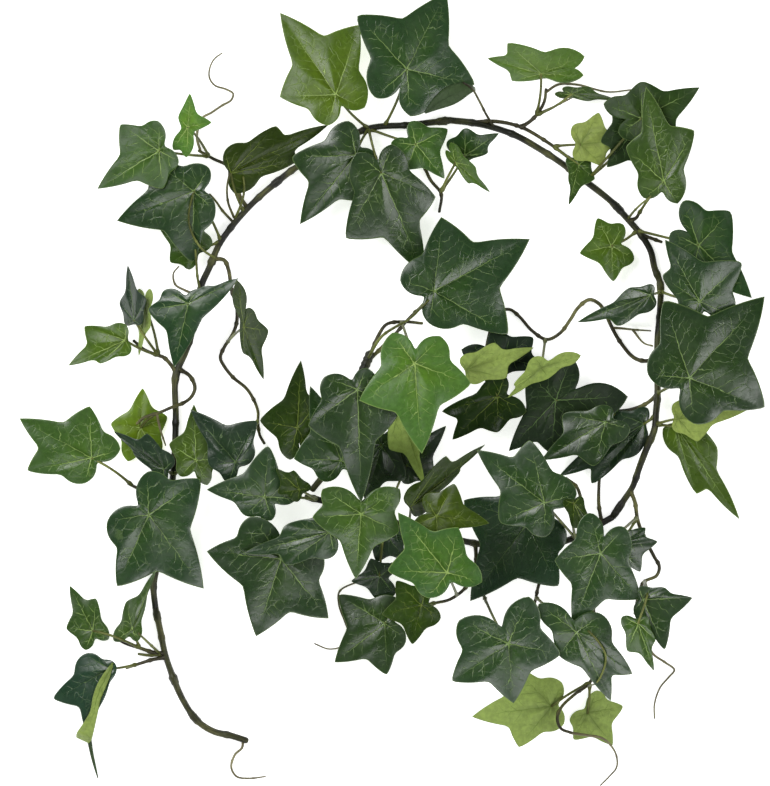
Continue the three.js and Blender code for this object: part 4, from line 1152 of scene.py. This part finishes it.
def add_stalk(leaf):
    """A stalk from inside its stem to the underside of its blade, over whatever lies between."""
    base = nearest_on_stems(leaf.foot)
    head = np.array([*leaf.junction, leaf.height - 0.25])
    ahead = head[:2] - base[:2]
    span = np.linalg.norm(ahead)
    shares = np.linspace(0, 1, max(12, int(span / DRAPE_STEP)))
    bow = leaf.random.uniform(-0.05, 0.05) * span
    across = turned(ahead) / max(span, 1e-6)
    plan = base[:2] + np.outer(shares, ahead) + np.outer(np.sin(math.pi * shares) * bow, across)
    heights = over_pieces(plan, shares * span, base[2] + (head[2] - base[2]) * shares)
    points = np.column_stack([plan, heights])[::2].tolist() + [head]
    line, places = evenly(smooth_line(points, 4), FINE_STEP)
    radii = 0.8 - 0.16 * places / places[-1]
    radii = radii + bumps(places, [STEM_RADIUS], 0.55, 1.6) + bumps(places, [places[-1]], 0.25, 1.2)
    add_tube(f"{leaf.name}_stalk", line, radii, FINE_SIDES, STALK_SKIN, leaf.node)


def add_fold(number, leaf_name, colour, route):
    """A leaf's edge folded over: a thin closed strip, arched a little, over what lies below."""
    line, places = evenly(smooth_line(route), 0.9)
    plan = line[:, :2] - MIDDLE
    half = line[:, 2]
    ahead = np.gradient(plan, axis=0)
    ahead /= np.linalg.norm(ahead, axis=1)[:, None]
    aside = half[:, None] * np.column_stack([-ahead[:, 1], ahead[:, 0]])
    steps = np.linspace(-1, 1, 9)
    count = len(steps)
    rows = plan[:, None, :] + steps[None, :, None] * aside[:, None, :]
    rest = np.array([max(top_at(x, y) for x, y in row) for row in rows])
    rest = np.maximum(rest, 1.0)
    for _ in range(6):
        rest[1:-1] = np.maximum(rest[1:-1], (rest[:-2] + rest[2:]) / 2)
    arch = 0.3 * half[:, None] * (1 - steps**2)
    height = rest[:, None] + AIR + arch
    thickness = 0.32
    top = np.dstack([rows, height]).reshape(-1, 3)
    base = np.dstack([rows, height - thickness]).reshape(-1, 3)
    size = len(top)
    faces = []
    for k in range(len(line) - 1):
        for m in range(count - 1):
            here = k * count + m
            quad = (here, here + count, here + count + 1, here + 1)
            faces.append(quad)
            faces.append(tuple(size + corner for corner in reversed(quad)))
    ring = [*range(count)]
    ring += [k * count + count - 1 for k in range(1, len(line))]
    ring += [size - 1 - m for m in range(1, count)]
    ring += [k * count for k in range(len(line) - 2, 0, -1)]
    for here, after in zip(ring, ring[1:] + ring[:1]):
        faces.append((here, after, size + after, size + here))
    corners = np.vstack([top, base])
    underside = [LEAF_FACES[colour][1]]
    name = f"{leaf_name}_fold_{number}"
    mesh = add_piece(name, corners, faces, underside, leaf_name).data
    along = np.tile(np.repeat(places, count), 2)
    across = np.tile((half[:, None] * steps).ravel(), 2)
    edge = np.tile(np.abs(steps), 2 * len(line))
    lobe_map = mesh.uv_layers.new(name="lobe").data
    reach_map = mesh.uv_layers.new(name="reach").data
    for loop in mesh.loops:
        k = loop.vertex_index
        lobe_map[loop.index].uv = (along[k], across[k])
        reach_map[loop.index].uv = (along[k] / places[-1], edge[k])
    add_tint(mesh, (1.0, 1.0, 1.0))
    lay(corners, faces)


# --- The garland ---------------------------------------------------------------------------

beneath = [Leaf(row) for row in BENEATH]
above = [Leaf(row) for row in ABOVE]
for leaf in beneath:
    add_blade(leaf)
for stem_node, stem_route in STEMS.items():
    add_stem(stem_node, stem_route)
for twig_number, (twig_node, twig_radius, twig_route) in enumerate(TWIGS, 1):
    add_twig(twig_number, twig_node, twig_radius, twig_route)
middle_places = [route_line(route) for route in STEMS.values()]
middle_places += [route_line(route) for _, radius, route in TWIGS if radius >= TWIG_RADIUS]
middle_places = np.vstack(middle_places)
for leaf in beneath:
    add_stalk(leaf)
for leaf in above:
    add_stalk(leaf)
    add_blade(leaf)
for fold_number, fold in enumerate(FOLDS, 1):
    add_fold(fold_number, *fold)
for sprig_number, sprig in enumerate(SPRIGS, 1):
    add_sprig(sprig_number, *sprig)


# --- Floor, light and camera ---------------------------------------------------------------

# Lamps: name, place and size in metres, power in watts
LAMPS = [
    ["soft_left", (-0.95, 0.65, 1.4), (1.1, 1.1), 19],
    ["core_left", (-0.94, 0.64, 1.39), (0.4, 0.4), 4],
    ["soft_right", (1.15, -0.25, 1.3), (0.8, 1.0), 12],
    ["soft_low", (0.1, -1.25, 1.2), (1.2, 0.6), 9],
]


def add_floor():
    """A wide sheet of white paper, just below the garland."""
    size = 12.0
    mesh = bpy.data.meshes.new("floor")
    corners = [(-size, -size, 0), (size, -size, 0), (size, size, 0), (-size, size, 0)]
    mesh.from_pydata(corners, [], [(0, 1, 2, 3)])
    material, nodes, shader = new_material("floor_paper", linear(*FLOOR_COLOUR))
    place = nodes.add("ShaderNodeTexCoord").outputs["Object"]
    speck = nodes.ramp(nodes.noise(place, 700, 3), 0.3, 0.7, 0.97, 1.0)
    nodes.join(nodes.shaded(linear(*FLOOR_COLOUR), speck), shader.inputs["Base Color"])
    shader.inputs["Roughness"].default_value = 0.9
    shader.inputs["Emission Color"].default_value = (1, 1, 1, 1)
    shader.inputs["Emission Strength"].default_value = 0.72
    mesh.materials.append(material)
    floor = bpy.data.objects.new("floor", mesh)
    floor.location.z = -0.0003
    bpy.context.scene.collection.objects.link(floor)


def add_lamp(name, place, size, power):
    """A soft lamp that points at the middle of the ring."""
    lamp = bpy.data.lights.new(name, "AREA")
    lamp.shape = "RECTANGLE"
    lamp.size, lamp.size_y = size
    lamp.energy = power
    holder = bpy.data.objects.new(name, lamp)
    holder.location = place
    holder.rotation_euler = (-Vector(place)).to_track_quat("-Z", "Y").to_euler()
    bpy.context.scene.collection.objects.link(holder)


def add_light():
    """A dim white world and soft lamps, the strongest at the upper left."""
    world = bpy.data.worlds.new("studio")
    world.use_nodes = True
    background = world.node_tree.nodes["Background"]
    background.inputs["Color"].default_value = (1, 1, 1, 1)
    background.inputs["Strength"].default_value = 0.13
    bpy.context.scene.world = world
    for lamp in LAMPS:
        add_lamp(*lamp)
    view = bpy.context.scene.view_settings
    view.view_transform = "Standard"
    view.look = "None"
    view.exposure = 0.0


def add_camera():
    """Straight above the plan's own middle, with +Y up the picture."""
    camera = bpy.data.cameras.new("camera")
    camera.lens = 300
    camera.sensor_width = 36
    across = 0.4323  # what the long side of the picture takes in
    distance = across * camera.lens / camera.sensor_width
    subject_height = 0.02
    holder = bpy.data.objects.new("camera", camera)
    holder.location = (-MIDDLE[0] * MM, -MIDDLE[1] * MM, subject_height + distance)
    camera.clip_start, camera.clip_end = 0.1, 100
    bpy.context.scene.collection.objects.link(holder)
    bpy.context.scene.camera = holder


add_floor()
add_light()
add_camera()
